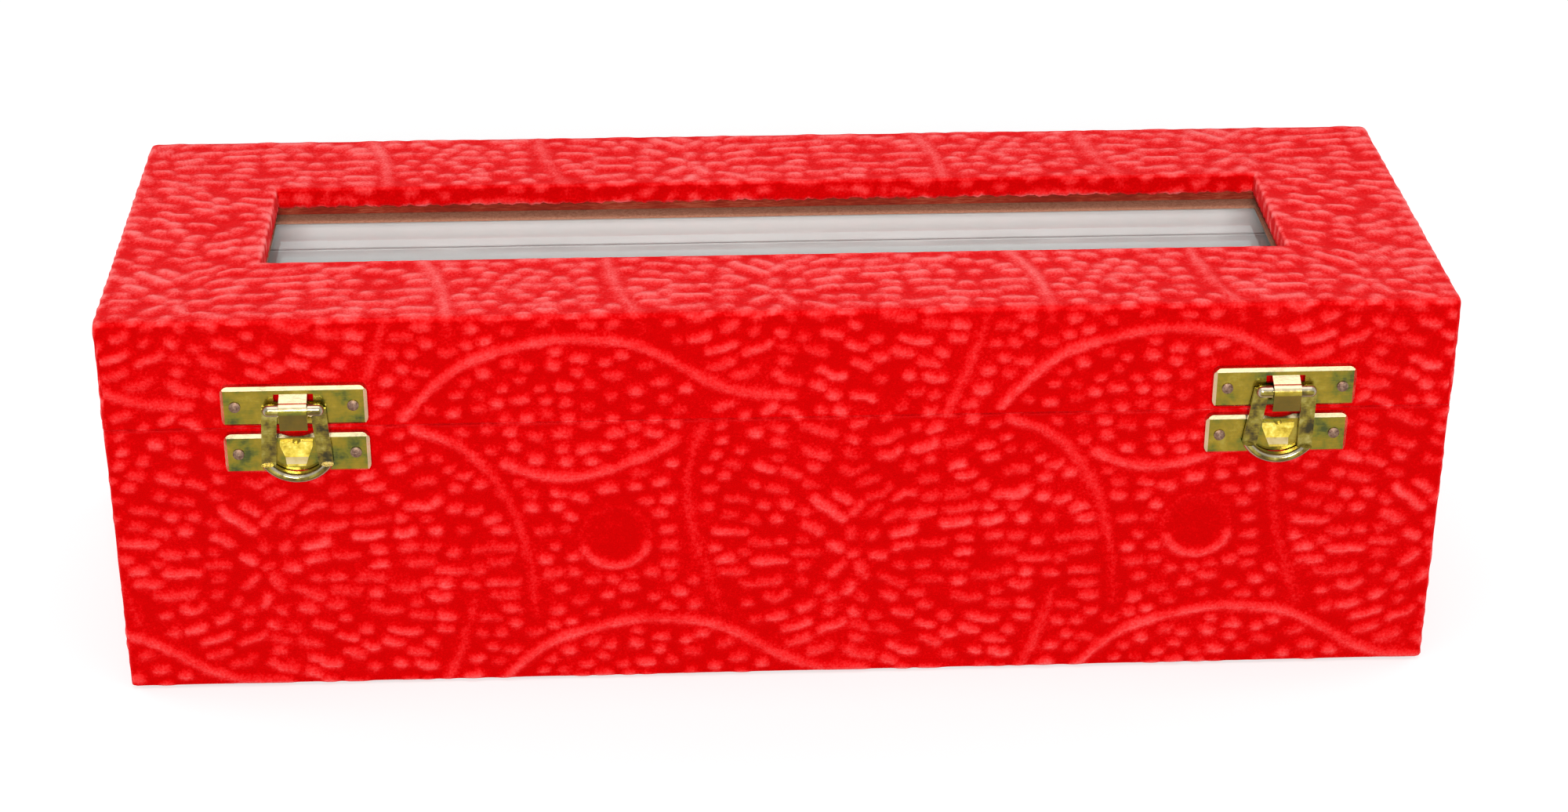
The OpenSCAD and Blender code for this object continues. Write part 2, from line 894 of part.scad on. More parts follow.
module roll_sleeve() {
    color(satin_white)
        on_rod()
            difference() {
                rotate_extrude()
                    difference() {
                        roll_section(0);
                        roll_section(sleeve_t);
                    }
                roll_core();
            }
}

base_paper();
base_floor();
base_front_panel();
base_back_panel();
base_end(left);  // base_left_end
base_end(right);  // base_right_end
base_velvet();
base_lining();
floor_pad();
rod_cradle(left);  // rod_cradle_left
rod_cradle(right);  // rod_cradle_right
keeper_plate(left);  // keeper_plate_left
keeper_plate(right);  // keeper_plate_right
keeper_tongue(left);  // keeper_tongue_left
keeper_tongue(right);  // keeper_tongue_right
front_nails(keeper_nails_x, keeper_nail_z);  // keeper_nails
hinge_base_leaf(left);  // hinge_base_leaf_left
hinge_base_leaf(right);  // hinge_base_leaf_right
hinge_pins();
back_nails(base_hinge_nail_z);  // hinge_base_nails
lid_top_panel();
lid_front_rail();
lid_back_rail();
lid_end(left);  // lid_left_end
lid_end(right);  // lid_right_end
lid_velvet();
window_pane();
pane_frame();
lid_wall_lining();
lid_top_lining();
catch_plate(left);  // catch_plate_left
catch_plate(right);  // catch_plate_right
front_nails(catch_nails_x, catch_nail_z);  // catch_nails
hinge_lid_leaf(left);  // hinge_lid_leaf_left
hinge_lid_leaf(right);  // hinge_lid_leaf_right
back_nails(lid_hinge_nail_z);  // hinge_lid_nails
hasp_loop(left);  // hasp_loop_left
hasp_loop(right);  // hasp_loop_right
rod_dowel();
roll_tube();
roll_disc(left);  // roll_disc_left
roll_disc(right);  // roll_disc_right
roll_padding();
roll_sleeve();
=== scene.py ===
"""The looks of a bangle box: embossed velvet over board, a window in the lid and two brass snap hasps.

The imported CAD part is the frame. Places and sizes below are in millimetres, in the part's own frame,
and come from the boxes of the CAD nodes wherever a node carries them. Meshes are made in metres.
"""
import math
from collections import namedtuple

import bpy
import numpy as np
from mathutils import Matrix, Vector


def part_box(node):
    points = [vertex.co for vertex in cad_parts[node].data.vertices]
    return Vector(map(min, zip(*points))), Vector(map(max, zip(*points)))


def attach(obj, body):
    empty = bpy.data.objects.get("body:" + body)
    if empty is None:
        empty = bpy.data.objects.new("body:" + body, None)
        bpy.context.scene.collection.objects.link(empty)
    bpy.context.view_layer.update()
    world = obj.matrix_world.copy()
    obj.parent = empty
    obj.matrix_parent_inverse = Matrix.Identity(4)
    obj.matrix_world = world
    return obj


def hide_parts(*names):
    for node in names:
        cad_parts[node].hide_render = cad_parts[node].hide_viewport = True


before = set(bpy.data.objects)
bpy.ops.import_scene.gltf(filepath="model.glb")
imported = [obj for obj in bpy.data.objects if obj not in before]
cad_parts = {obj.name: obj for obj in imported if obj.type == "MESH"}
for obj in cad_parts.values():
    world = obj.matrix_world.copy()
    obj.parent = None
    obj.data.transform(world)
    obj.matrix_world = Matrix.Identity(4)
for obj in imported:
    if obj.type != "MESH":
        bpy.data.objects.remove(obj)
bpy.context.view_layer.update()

MM = 0.001
SEED = 7

# Camera, fitted to the corners of the box in the photograph
CAMERA_PLACE = (-31.57, -651.23, 388.27)
CAMERA_DOWN = 27.82
CAMERA_YAW = 3.015
CAMERA_ROLL = 0.296
LENS = 70.51
SENSOR = 36.0

# Velvet: its thickness and relief, how the pattern calms towards an edge and pales on it, how far the
# top is brushed out, and how deep the plates press in and how far beside them
NAP = 0.8
RELIEF = 0.8
EDGE_CALM = 0.22
CALM_WAY = 4.5
EDGE_PALE = 0.3
BRUSHED = 0.5
PRESSED_IN = 0.12
PRESS_BESIDE = 0.4
PRESS_FADE = 1.6

# Covers: the rounding of their edges, how far they run on out of sight, and the mesh's steps.
# AROUND counts the steps along the front, the right, the back and the left
SEAM_R = 0.2
FOOT_R = 1.0
TUCK_R = 0.5
CORNER_R = 1.2
CORNER_STEPS = 6
TOP_EDGE_R = 1.5
WINDOW_EDGE_R = 0.9
WINDOW_TURN = 4.8
HEM_FRAY = 0.5
FRAY_WAVES = ((5.3, math.inf, 0.45), (2.1, math.inf, 0.35), (0.9, math.inf, 0.2))
BOARD_WALL = 5.8
BASE_HEM = 12.0
RIM_SWELL = 0.16
WALL_STEP = 0.74
TOP_STEP = 0.72
AROUND = (370, 110, 250, 110)

# Embossed pattern: one cell, repeated by a sideways and a slanting step
CELL_U = 132.5
CELL_V = 72.0
CELL_LEAN = 17.0
PIXEL = 0.25
CELL_COLS = round(CELL_U / PIXEL)
CELL_ROWS = round(CELL_V / PIXEL)
LEAN_COLS = round(CELL_LEAN / PIXEL)
FLOWER = (16.0, 32.0)
FLOWER_R = 9.0
CIRCLE = (27.0, 30.0)
CIRCLE_R = 46.0
RING = (-38.0, 38.0)
RING_R = 7.6
RING_ARC = (205, 335)

# Ridges and strokes: half their width, their height, and how uneven it is
RIDGE_HALF = (1.05, 1.45)
RIDGE_UNEVEN = (0.72, 0.98)
STROKE_HALF = (0.9, 1.35)
STROKE_LOW = 0.42
STROKE_RISE = 0.48
STROKE_UNEVEN = 0.15
TRACE_STEP = 0.6

# Room kept beside them, and how often a place for one more is drawn by lot
RIDGE_CLEAR = 2.8
FREE = 0.37
WIDE_SPACING = 3.0
WIDE_TRIALS = 5000
CLOSE_SPACING = 2.65
CLOSE_TRIALS = 8000
DISC_TRIALS = 12000

# Near the flower's middle strokes point straight out; beyond it they level off with every millimetre
LEVEL_FROM = 4.0
LEVEL_RATE = 0.045
LEVEL_LEAST = 0.30

# Satin; a wave is its length along, its length across and its height
SATIN_STEP = 1.4
SATIN_CORNER_R = 0.3
SATIN_EDGE_R = 0.35
WALL_FOLDS = ((37, 160, 0.10), (19, -90, 0.07), (9.5, 120, 0.035), (61, 45, 0.08))
WALL_SINK = 0.24
WALL_SINK_RANGE = (0.02, 0.55)
CEILING_EDGE_R = 0.3
CEILING_CARD = 0.5
CEILING_SINK = 0.08
CEILING_SINK_RANGE = (0, 0.2)
CEILING_ROWS = 22
CEILING_FOLDS = ((26, 11, 0.05), (13, 31, 0.025), (44, -17, 0.045))
CUSHION_SIDE_R = 2.0
CUSHION_DRAW_IN = 1.6
CUSHION_STEP = 1.9
CUSHION_BORDER = 10
CUSHION_SWELL_WAY = 9
CUSHION_PUCKER = 0.42
CUSHION_LUMPS = ((58, 41, 0.16), (27, -33, 0.09), (83, 24, 0.12))
CUSHION_TUCKS = ((7.3, 90, 0.6), (4.4, -70, 0.4))
ROLL_AROUND = 300
ROLL_LUMPS = ((52, 63, 0.22), (33, -126, 0.14), (95, 42, 0.2))
ROLL_TUCKS = ((9.6, 260, 0.7), (6.3, -300, 0.5))
ROLL_SINK = 0.45
ROLL_GATHER = 0.55
ROLL_GATHER_WAY = 9
SLEEVE_SEAM = math.radians(-105)
SEAM_DEPTH = 0.9
SEAM_WIDTH = 1.1
STITCH = 6.5
STITCH_DEPTH = 0.35

# Room
FLOOR_REACH = 4000
FLOOR_GREY = 0.55
FLOOR_GLOW = 0.52
FLOOR_NEAR = 500
FLOOR_FAR = 1800
WORLD_LIGHT = 0.27
WHITE = (1, 1, 1, 1)
SEEN_RAYS = ("Is Camera Ray", "Is Glossy Ray", "Is Transmission Ray")
LAMPS_AIM = (0, 0, 50)

BOXES = {}
HOLES = {}


def size_mm(name):
    """Lowest and highest corner of a CAD node, in millimetres."""
    if name not in BOXES:
        low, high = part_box(name)
        BOXES[name] = (np.array(low) / MM, np.array(high) / MM)
    return BOXES[name]


def hole_rect(name):
    """The opening through a CAD node of the lid, seen from above."""
    if name not in HOLES:
        high = size_mm(name)[1]
        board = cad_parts[name].data
        plan = np.array([vertex.co[:2] for vertex in board.vertices]) / MM
        hole = plan[(np.abs(plan[:, 0]) < high[0] - 1.0) & (np.abs(plan[:, 1]) < high[1] - 1.0)]
        (x0, y0), (x1, y1) = hole.min(0), hole.max(0)
        HOLES[name] = (x0, x1, y0, y1)
    return HOLES[name]


LID_TOP = size_mm("lid_velvet")[1][2]
FRONT = size_mm("lid_velvet")[0][1]


def mesh_object(name, points, faces, materials, smooth=True):
    """A mesh object from points in millimetres."""
    mesh = bpy.data.meshes.new(name)
    mesh.from_pydata((np.asarray(points) * MM).tolist(), [], np.asarray(faces).tolist())
    mesh.polygons.foreach_set("use_smooth", [smooth] * len(mesh.polygons))
    for material in materials:
        mesh.materials.append(material)
    piece = bpy.data.objects.new(name, mesh)
    bpy.context.scene.collection.objects.link(piece)
    return piece


def swept_faces(rows, around):
    """Four-sided faces between rows of points that each run once round; the last row meets the first."""
    index = np.arange(rows * around).reshape(rows, around)
    after = np.roll(index, -1, 1)
    return np.stack([index, after, np.roll(after, -1, 0), np.roll(index, -1, 0)], -1).reshape(-1, 4)


# Materials

def new_material(name, **values):
    """A material whose Principled sockets take the given values; words are joined by underscores."""
    material = bpy.data.materials.new(name)
    material.use_nodes = True
    surface = material.node_tree.nodes["Principled BSDF"]
    for socket, value in values.items():
        surface.inputs[socket.replace("_", " ")].default_value = value
    return material


def node(material, kind, inputs=(), **settings):
    """Adds a shader node to a material or the world. inputs pairs sockets with values or outputs."""
    made = material.node_tree.nodes.new("ShaderNode" + kind)
    for name, value in settings.items():
        setattr(made, name, value)
    for socket, value in dict(inputs).items():
        if isinstance(value, bpy.types.NodeSocket):
            material.node_tree.links.new(value, made.inputs[socket])
        else:
            made.inputs[socket].default_value = value
    return made


def place(material, stretch=(1, 1, 1)):
    """The piece's own coordinates in millimetres, stretched along each axis."""
    where = node(material, "TexCoord").outputs["Object"]
    scale = [share / MM for share in stretch]
    return node(material, "Mapping", {"Vector": where, "Scale": scale}).outputs["Vector"]


def noise(material, where, size, detail=3.0, roughness=0.55):
    """Noise whose lumps measure about size millimetres."""
    inputs = {"Vector": where, "Scale": 1 / size, "Detail": detail, "Roughness": roughness}
    return node(material, "TexNoise", inputs).outputs["Fac"]


def maths(material, operation, first, second):
    """The result of one operation on two values."""
    return node(material, "Math", {0: first, 1: second}, operation=operation).outputs["Value"]


def spread(material, value, low, high, to_low=0.0, to_high=1.0):
    """Maps low..high to another range, and stops at its ends."""
    inputs = {"Value": value, "From Min": low, "From Max": high, "To Min": to_low, "To Max": to_high}
    return node(material, "MapRange", inputs).outputs["Result"]


def ramp(material, value, stops):
    """Colours along a value, from pairs of position and linear colour."""
    made = node(material, "ValToRGB", {"Fac": value})
    points = made.color_ramp.elements
    while len(points) < len(stops):
        points.new(0.5)
    for point, (position, colour) in zip(points, stops):
        point.position = position
        point.color = (*colour, 1)
    return made.outputs["Color"]


def mix(material, share, first, second):
    """Mixes two colours."""
    return node(material, "Mix", {0: share, 6: first, 7: second}, data_type="RGBA").outputs[2]


def bump(material, height, distance, strength=1.0, under=None):
    """A normal from a height, where distance is the height of 1 in millimetres."""
    inputs = {"Height": height, "Distance": distance * MM, "Strength": strength}
    if under is not None:
        inputs["Normal"] = under
    return node(material, "Bump", inputs).outputs["Normal"]


def feed(material, **sockets):
    """Links node outputs to the Principled sockets."""
    surface = material.node_tree.nodes["Principled BSDF"]
    for socket, output in sockets.items():
        material.node_tree.links.new(output, surface.inputs[socket.replace("_", " ")])


def velvet_material():
    """Red velvet: deep in the pressed ground, pale on the raised pile, and painted paler and pinker where
    it is seen aslant, a painted sheen.
    """
    made = new_material("velvet_red", Roughness=0.9, Specular_IOR_Level=0.02, Sheen_Weight=0.14,
                        Sheen_Roughness=0.3, Sheen_Tint=(1.0, 0.28, 0.28, 1))
    where = place(made)
    # Painted sheen: the colour turns from the straight ramp to a paler, pinker one as the surface is seen
    # more aslant, as on the top
    turned = node(made, "LayerWeight", {"Blend": 0.5}).outputs["Facing"]
    painted_sheen_share = spread(made, turned, 0.16, 0.56, 0.0, 1.0)
    relief = node(made, "Attribute", attribute_name="relief").outputs["Fac"]
    crush = spread(made, noise(made, where, 18, 3.0, 0.6), 0.3, 0.7, -0.10, 0.10)
    pile = spread(made, noise(made, where, 0.55, 3.0, 0.75), 0.3, 0.7, -0.22, 0.22)
    tuft = spread(made, noise(made, where, 2.2, 2.0, 0.6), 0.35, 0.65, -0.10, 0.10)
    height = maths(made, "ADD", maths(made, "ADD", relief, crush), maths(made, "ADD", pile, tuft))
    lit = maths(made, "MULTIPLY", height, 0.6)
    straight = ramp(made, lit, [
        (0.00, (0.55, 0.0002, 0.0006)),
        (0.12, (0.65, 0.0005, 0.0014)),
        (0.30, (0.76, 0.0110, 0.0125)),
        (0.48, (0.84, 0.0330, 0.0335)),
        (0.62, (0.88, 0.0600, 0.0600)),
        (0.88, (0.91, 0.1300, 0.1250)),
    ])
    painted_sheen_colour = ramp(made, lit, [
        (0.00, (0.76, 0.0050, 0.0070)),
        (0.12, (0.83, 0.0150, 0.0170)),
        (0.30, (0.91, 0.0580, 0.0600)),
        (0.48, (0.97, 0.1350, 0.1320)),
        (0.70, (0.99, 0.2150, 0.2100)),
    ])
    colour = mix(made, painted_sheen_share, straight, painted_sheen_colour)
    nap = maths(made, "ADD", noise(made, where, 0.35, 3.0, 0.7), noise(made, where, 1.4, 2.0))
    feed(made, Base_Color=colour, Normal=bump(made, nap, 0.22, 0.8))
    return made


def satin_material(name, dark, pale, thread_dark):
    """Satin: fine threads, soft gloss."""
    made = new_material(name, Roughness=0.46, Specular_IOR_Level=0.3)
    thread = noise(made, place(made, (1, 1, 6)), 0.5, 2.0)
    colour = ramp(made, noise(made, place(made), 14, 3.0), [(0.30, dark), (0.70, pale)])
    feed(made, Base_Color=mix(made, spread(made, thread, 0.3, 0.7, 0.0, 0.3), colour, (*thread_dark, 1)),
         Roughness=spread(made, thread, 0.3, 0.7, 0.38, 0.55), Normal=bump(made, thread, 0.05, 0.7))
    return made


def board_material():
    """Raw brown fibreboard with darker and lighter fibres and patches that run to tan."""
    made = new_material("board_brown", Roughness=0.9, Specular_IOR_Level=0.15)
    fibre = noise(made, place(made, (0.35, 1, 3.0)), 0.9, 5.0, 0.7)
    patch = noise(made, place(made), 16, 3.0)
    tone = maths(made, "ADD", maths(made, "MULTIPLY", fibre, 0.55), maths(made, "MULTIPLY", patch, 0.45))
    colour = ramp(made, tone, [
        (0.34, (0.135, 0.008, 0.003)),
        (0.50, (0.235, 0.018, 0.006)),
        (0.68, (0.370, 0.085, 0.040)),
    ])
    feed(made, Base_Color=colour, Normal=bump(made, fibre, 0.25))
    return made


def card_material():
    """Grey-brown card."""
    made = new_material("card_brown", Roughness=0.85, Specular_IOR_Level=0.2)
    fibre = noise(made, place(made, (1, 1, 2.5)), 0.7, 5.0, 0.7)
    colour = ramp(made, fibre, [(0.3, (0.360, 0.130, 0.070)), (0.7, (0.620, 0.300, 0.190))])
    feed(made, Base_Color=colour, Normal=bump(made, fibre, 0.12))
    return made


def paper_material():
    """Dull grey backing paper, slightly cockled."""
    made = new_material("paper_grey", Roughness=0.8, Specular_IOR_Level=0.2)
    speck = noise(made, place(made), 0.6, 4.0, 0.7)
    cockle = noise(made, place(made), 9, 2.0)
    colour = ramp(made, speck, [(0.3, (0.36, 0.33, 0.29)), (0.7, (0.50, 0.47, 0.42))])
    feed(made, Base_Color=colour, Normal=bump(made, cockle, 0.3, under=bump(made, speck, 0.05)))
    return made


def wood_material():
    """Turned softwood with its grain along X."""
    made = new_material("wood_pale", Roughness=0.55, Specular_IOR_Level=0.35)
    grain = noise(made, place(made, (0.05, 1, 1)), 0.7, 4.0, 0.65)
    broad = noise(made, place(made, (0.02, 1, 1)), 3.5, 2.0)
    colour = ramp(made, maths(made, "MULTIPLY", maths(made, "ADD", grain, broad), 0.5), [
        (0.35, (0.36, 0.20, 0.085)),
        (0.55, (0.56, 0.36, 0.18)),
        (0.70, (0.68, 0.48, 0.27)),
    ])
    feed(made, Base_Color=colour, Normal=bump(made, grain, 0.08))
    return made


def brass_material(name, stops, worn, rough=0.2, size=6.5, dent=0.10):
    """Stamped brass: green and brown patches that are painted reflection, rolling lines along X, rims
    rubbed pale, and painted shade on faces that tip slightly down.
    """
    made = new_material(name, Metallic=1.0, Coat_Weight=0.6, Coat_IOR=1.36, Coat_Roughness=0.08)
    where = place(made)
    # The cloud's green and brown patches in the colour are painted reflection; the cloud also varies the
    # roughness and the rubbed rims
    cloud = noise(made, where, size, 4.0, 0.6)
    lines = noise(made, place(made, (0.08, 1, 1)), 0.22, 2.0)
    tone = maths(made, "ADD", maths(made, "MULTIPLY", cloud, 0.88), maths(made, "MULTIPLY", lines, 0.12))
    faces = node(made, "SeparateXYZ", {"Vector": node(made, "TexCoord").outputs["Normal"]}).outputs
    rim = spread(made, maths(made, "ABSOLUTE", faces["Y"], 0.0), 0.80, 0.94, 1.0, 0.0)
    rubbed = maths(made, "MULTIPLY", rim, spread(made, cloud, 0.35, 0.55, 0.7, 1.0))
    # Painted shade: faces that look front or back and tip slightly down are mixed to dark brown, as under
    # curled tabs and tongues
    low = spread(made, faces["Z"], -0.14, -0.06, 0.8, 0.0)
    underside_painted_shade = maths(made, "MULTIPLY", maths(made, "SUBTRACT", 1.0, rim), low)
    plate = mix(made, underside_painted_shade, ramp(made, tone, stops), (0.120, 0.070, 0.006, 1))
    dented = bump(made, noise(made, where, 2.4, 2.0), dent, 0.7, bump(made, lines, 0.012))
    feed(made, Base_Color=mix(made, rubbed, plate, (*worn, 1)), Normal=dented,
         Roughness=spread(made, cloud, 0.35, 0.65, rough - 0.04, rough + 0.10))
    return made


def nail_material():
    """Steel nail heads gone dull and brown."""
    made = new_material("nail_steel", Metallic=0.8)
    spot = noise(made, place(made), 0.7, 3.0, 0.7)
    colour = ramp(made, spot, [(0.35, (0.100, 0.045, 0.030)), (0.65, (0.280, 0.180, 0.120))])
    feed(made, Base_Color=colour, Roughness=spread(made, spot, 0.3, 0.7, 0.38, 0.6),
         Normal=bump(made, spot, 0.06))
    return made


def pane_material():
    """Clear sheet: it shows only its reflections, stronger at a low angle, and a few smears."""
    made = new_material("pane_clear", Base_Color=(1, 1, 1, 1), Metallic=1.0)
    turned = node(made, "LayerWeight", {"Blend": 0.5}).outputs["Facing"]
    smear = noise(made, place(made, (0.25, 1, 1)), 9, 4.0)
    film = maths(made, "ADD", maths(made, "MULTIPLY", maths(made, "POWER", turned, 5.0), 0.6), 0.015)
    feed(made, Alpha=film, Roughness=spread(made, smear, 0.4, 0.7, 0.03, 0.16))
    return made


VELVET = velvet_material()
SATIN = satin_material("satin_white", (0.94, 0.95, 0.925), (0.965, 0.97, 0.95), (0.92, 0.92, 0.895))
# The same satin, a little creamier and much darker, for the roll, the cushion, the cradles and the lid's
# ceiling: the darkening is painted shade that keeps them from clipping to white under the lamps
IVORY_PAINTED_SHADE = satin_material("satin_ivory_painted_shade", (0.71, 0.70, 0.66), (0.76, 0.75, 0.71), (0.66, 0.65, 0.61))
BOARD = board_material()
CARD = card_material()
PAPER = paper_material()
WOOD = wood_material()
PLATE_BRASS = brass_material("brass_plate", [
    (0.36, (0.060, 0.075, 0.014)), (0.44, (0.170, 0.160, 0.013)), (0.50, (0.250, 0.185, 0.011)),
    (0.57, (0.310, 0.215, 0.013)), (0.67, (0.380, 0.300, 0.040))], (0.60, 0.49, 0.29))
LOOP_BRASS = brass_material("brass_loop", [
    (0.36, (0.040, 0.032, 0.008)), (0.45, (0.135, 0.095, 0.012)), (0.53, (0.245, 0.190, 0.020)),
    (0.66, (0.400, 0.340, 0.090))], (0.38, 0.34, 0.25), 0.18, 3.4)
TONGUE_BRASS = brass_material("brass_tongue", [
    (0.36, (0.420, 0.280, 0.015)), (0.50, (0.680, 0.520, 0.060)), (0.66, (0.900, 0.780, 0.220))],
    (0.70, 0.60, 0.36), 0.42, 1.8, 0.03)
NAIL = nail_material()
PANE = pane_material()


# Embossed pattern

def spline(points, step=0.8):
    """A smooth path through points, as Catmull-Rom stretches."""
    points = np.array(points, float)
    ends = np.vstack([2 * points[0] - points[1], points, 2 * points[-1] - points[-2]])
    path = [points[:1]]
    for a, b, c, d in zip(ends, ends[1:], ends[2:], ends[3:]):
        count = max(2, int(np.linalg.norm(c - b) / step))
        t = np.linspace(0, 1, count + 1)[1:, None]
        path.append(0.5 * (2 * b + (c - a) * t + (2 * a - 5 * b + 4 * c - d) * t**2
                           + (3 * b - a - 3 * c + d) * t**3))
    return np.vstack(path)


def stamp(cell, path, half_width, height):
    """Raises a stroke along a path of the cloth, in the one cell that repeats."""
    reach = 2.2 * half_width
    first_col, first_row = np.floor((path.min(0) - reach) / PIXEL).astype(int)
    last_col, last_row = np.floor((path.max(0) + reach) / PIXEL).astype(int)
    cols = np.arange(first_col, last_col)
    rows = np.arange(first_row, last_row)
    u, v = np.meshgrid(cols * PIXEL, rows * PIXEL)
    nearest = np.full(u.shape, np.inf)
    for start, end in zip(path[:-1], path[1:]):
        along = end - start
        share = ((u - start[0]) * along[0] + (v - start[1]) * along[1]) / max(along @ along, 1e-9)
        share = np.clip(share, 0, 1)
        off = np.hypot(u - start[0] - share * along[0], v - start[1] - share * along[1])
        nearest = np.minimum(nearest, off)
    raised = height * np.exp(-((nearest / half_width) ** 2.1))
    across = (cols[None, :] + LEAN_COLS * (rows // CELL_ROWS)[:, None]) % CELL_COLS
    down = np.broadcast_to((rows % CELL_ROWS)[:, None], across.shape)
    np.maximum.at(cell, (down, across), raised)


def look_up(cell, u, v):
    """The cell's value at places of the cloth, smoothly between its pixels."""
    u = np.asarray(u) / PIXEL
    v = np.asarray(v) / PIXEL
    col = np.floor(u).astype(int)
    row = np.floor(v).astype(int)
    du = u - col
    dv = v - row
    total = 0
    for step_v, part_v in ((0, 1 - dv), (1, dv)):
        line = row + step_v
        for step_u, part_u in ((0, 1 - du), (1, du)):
            across = (col + step_u + LEAN_COLS * (line // CELL_ROWS)) % CELL_COLS
            total = total + part_u * part_v * cell[line % CELL_ROWS, across]
    return total


# Each ridge: its height at both ends, and the points it runs through
RIDGES = [
    # Long arch, its right foot running on into the next one
    (1.00, 0.80, [(-84, 69.5), (-80, 74), (-75.5, 78.5), (-69, 83), (-60, 86), (-50, 88), (-41, 87.8),
                  (-32, 86), (-24, 81.8), (-16, 76.8), (-8, 74), (2, 73.2)]),
    # Lower side of the leaf
    (0.95, 0.85, [(-62, 57.4), (-56, 54.6), (-48, 53.6), (-40, 55), (-30, 59), (-24, 62.6)]),
    # Right side of the flower's circle
    (0.95, 0.25, [(-82, 66.5), (-72, 62), (-65, 54), (-60, 43), (-57.5, 32), (-56.5, 18)]),
    # Slanting stem under the circle
    (0.40, 0.75, [(-70, 22), (-73.5, 10), (-77.5, 0), (-79, -4)]),
    # Left side of the circle, fainter
    (0.50, 0.30, [(-18, 66), (-21.5, 52), (-19.5, 36), (-14, 18)]),
]


def circle_path(centre, radius, first, last, step=8):
    """Points along an arc, angles in degrees."""
    turn = np.radians(np.arange(first, last + step, step))
    return np.stack([centre[0] + radius * np.cos(turn), centre[1] + radius * np.sin(turn)], 1)


def cell_steps(u, v, middle):
    """Steps from a motif's middle to a place of the cloth, for the copy that is nearest to it."""
    copies = [(u - middle[0] - copy * CELL_U + up * CELL_LEAN, v - middle[1] - up * CELL_V)
              for up in (-1, 0, 1) for copy in (-1, 0, 1)]
    return min(copies, key=lambda step: math.hypot(*step))


def lean_at(u, v):
    """Which way strokes lie at a place: out from the flower's middle, and more level farther out."""
    if math.hypot(*cell_steps(u, v, CIRCLE)) > CIRCLE_R:
        return 0.15 * math.sin(u / 5) * math.cos(v / 4)
    du, dv = cell_steps(u, v, FLOWER)
    ray = math.atan2(dv, du)
    ray = (ray + math.pi / 2) % math.pi - math.pi / 2
    return ray * max(LEVEL_LEAST, 1.0 - LEVEL_RATE * max(0.0, math.hypot(du, dv) - LEVEL_FROM))


def traced(u, v, length, curl, sway, phase):
    """A stroke's path through a place: it follows the lean, curls up at both ends and sways."""
    halves = []
    for way in (-1, 1):
        x, y, run = u, v, 0.0
        half = []
        for _ in range(max(1, round(length / 2 / TRACE_STEP))):
            run += way * TRACE_STEP
            angle = lean_at(x, y) + curl * run + sway * math.sin(run + phase)
            x += way * TRACE_STEP * math.cos(angle)
            y += way * TRACE_STEP * math.sin(angle)
            half.append((x, y))
        halves.append(half)
    return np.array(halves[0][::-1] + [(u, v)] + halves[1])


def stroke_form(u, v, chance):
    """Length, curl and sway of a stroke: small by the flower's middle, long in the circle, dots outside."""
    if math.hypot(*cell_steps(u, v, FLOWER)) < FLOWER_R:
        return 1.0 + 2.2 * chance[0], 0.0, 0.0
    if math.hypot(*cell_steps(u, v, CIRCLE)) < CIRCLE_R:
        return 1.2 + 7.5 * chance[0] ** 1.4, 0.11 * chance[1] - 0.02, 0.42 * chance[2]
    return 0.5 + 1.9 * chance[0], 0.15 * (chance[1] - 0.3), 0.3


def mark_disc(cell):
    """Marks the ring's place, with room around it."""
    stamp(cell, circle_path(RING, RING_R / 2, 0, 360), RING_R / 2 + RIDGE_CLEAR, 1.0)


def add_ridges(cell, taken, draw):
    """The long lines, uneven along their run, with room kept beside them and at the ring."""
    for first, last, points in RIDGES:
        path = spline(points)
        stamp(taken, path, RIDGE_CLEAR, 1.0)
        for start in range(0, len(path) - 1, 3):
            height = first + (last - first) * start / len(path)
            half_width = draw.uniform(*RIDGE_HALF)
            stamp(cell, path[start:start + 4], half_width, height * draw.uniform(*RIDGE_UNEVEN))
    mark_disc(taken)


def add_strokes(cell, taken, draw, spacing, trials):
    """Strokes at places drawn by lot, wherever the last ones leave room."""
    for _ in range(trials):
        u, v = draw.uniform(0, CELL_U), draw.uniform(0, CELL_V)
        chance = draw.uniform(0, 1, 5)
        if look_up(taken, u, v) > FREE:
            continue
        path = traced(u, v, *stroke_form(u, v, chance), 2 * math.pi * chance[3])
        if look_up(taken, path[:, 0], path[:, 1]).max() > FREE:
            continue
        stamp(taken, path[1:-1] if len(path) > 4 else path, spacing, 1.0)
        middle = len(path) // 2
        for half in (path[:middle + 1], path[middle:]):
            half_width = draw.uniform(*STROKE_HALF)
            height = STROKE_LOW + STROKE_RISE * chance[4] + draw.uniform(0.0, STROKE_UNEVEN)
            stamp(cell, half, half_width, height)


def embossing():
    """Two cells of the pattern, one with a ring and one with strokes in its place: 0 is pressed flat."""
    draw = np.random.default_rng(SEED)
    cell = np.zeros((CELL_ROWS, CELL_COLS))
    taken = np.zeros_like(cell)
    add_ridges(cell, taken, draw)
    add_strokes(cell, taken, draw, WIDE_SPACING, WIDE_TRIALS)
    add_strokes(cell, taken, draw, CLOSE_SPACING, CLOSE_TRIALS)
    # The ring stands out along its lower side and is faint elsewhere
    ringed = cell.copy()
    stamp(ringed, circle_path(RING, RING_R, *RING_ARC), 1.15, 0.85)
    stamp(ringed, circle_path(RING, RING_R, 0, 360), 1.0, 0.2)
    disc = np.zeros_like(cell)
    mark_disc(disc)
    add_strokes(cell, 1 - disc, draw, CLOSE_SPACING, DISC_TRIALS)
    return ringed, cell


RINGED, FILLED = embossing()


# Covers: a closed section swept once round the box

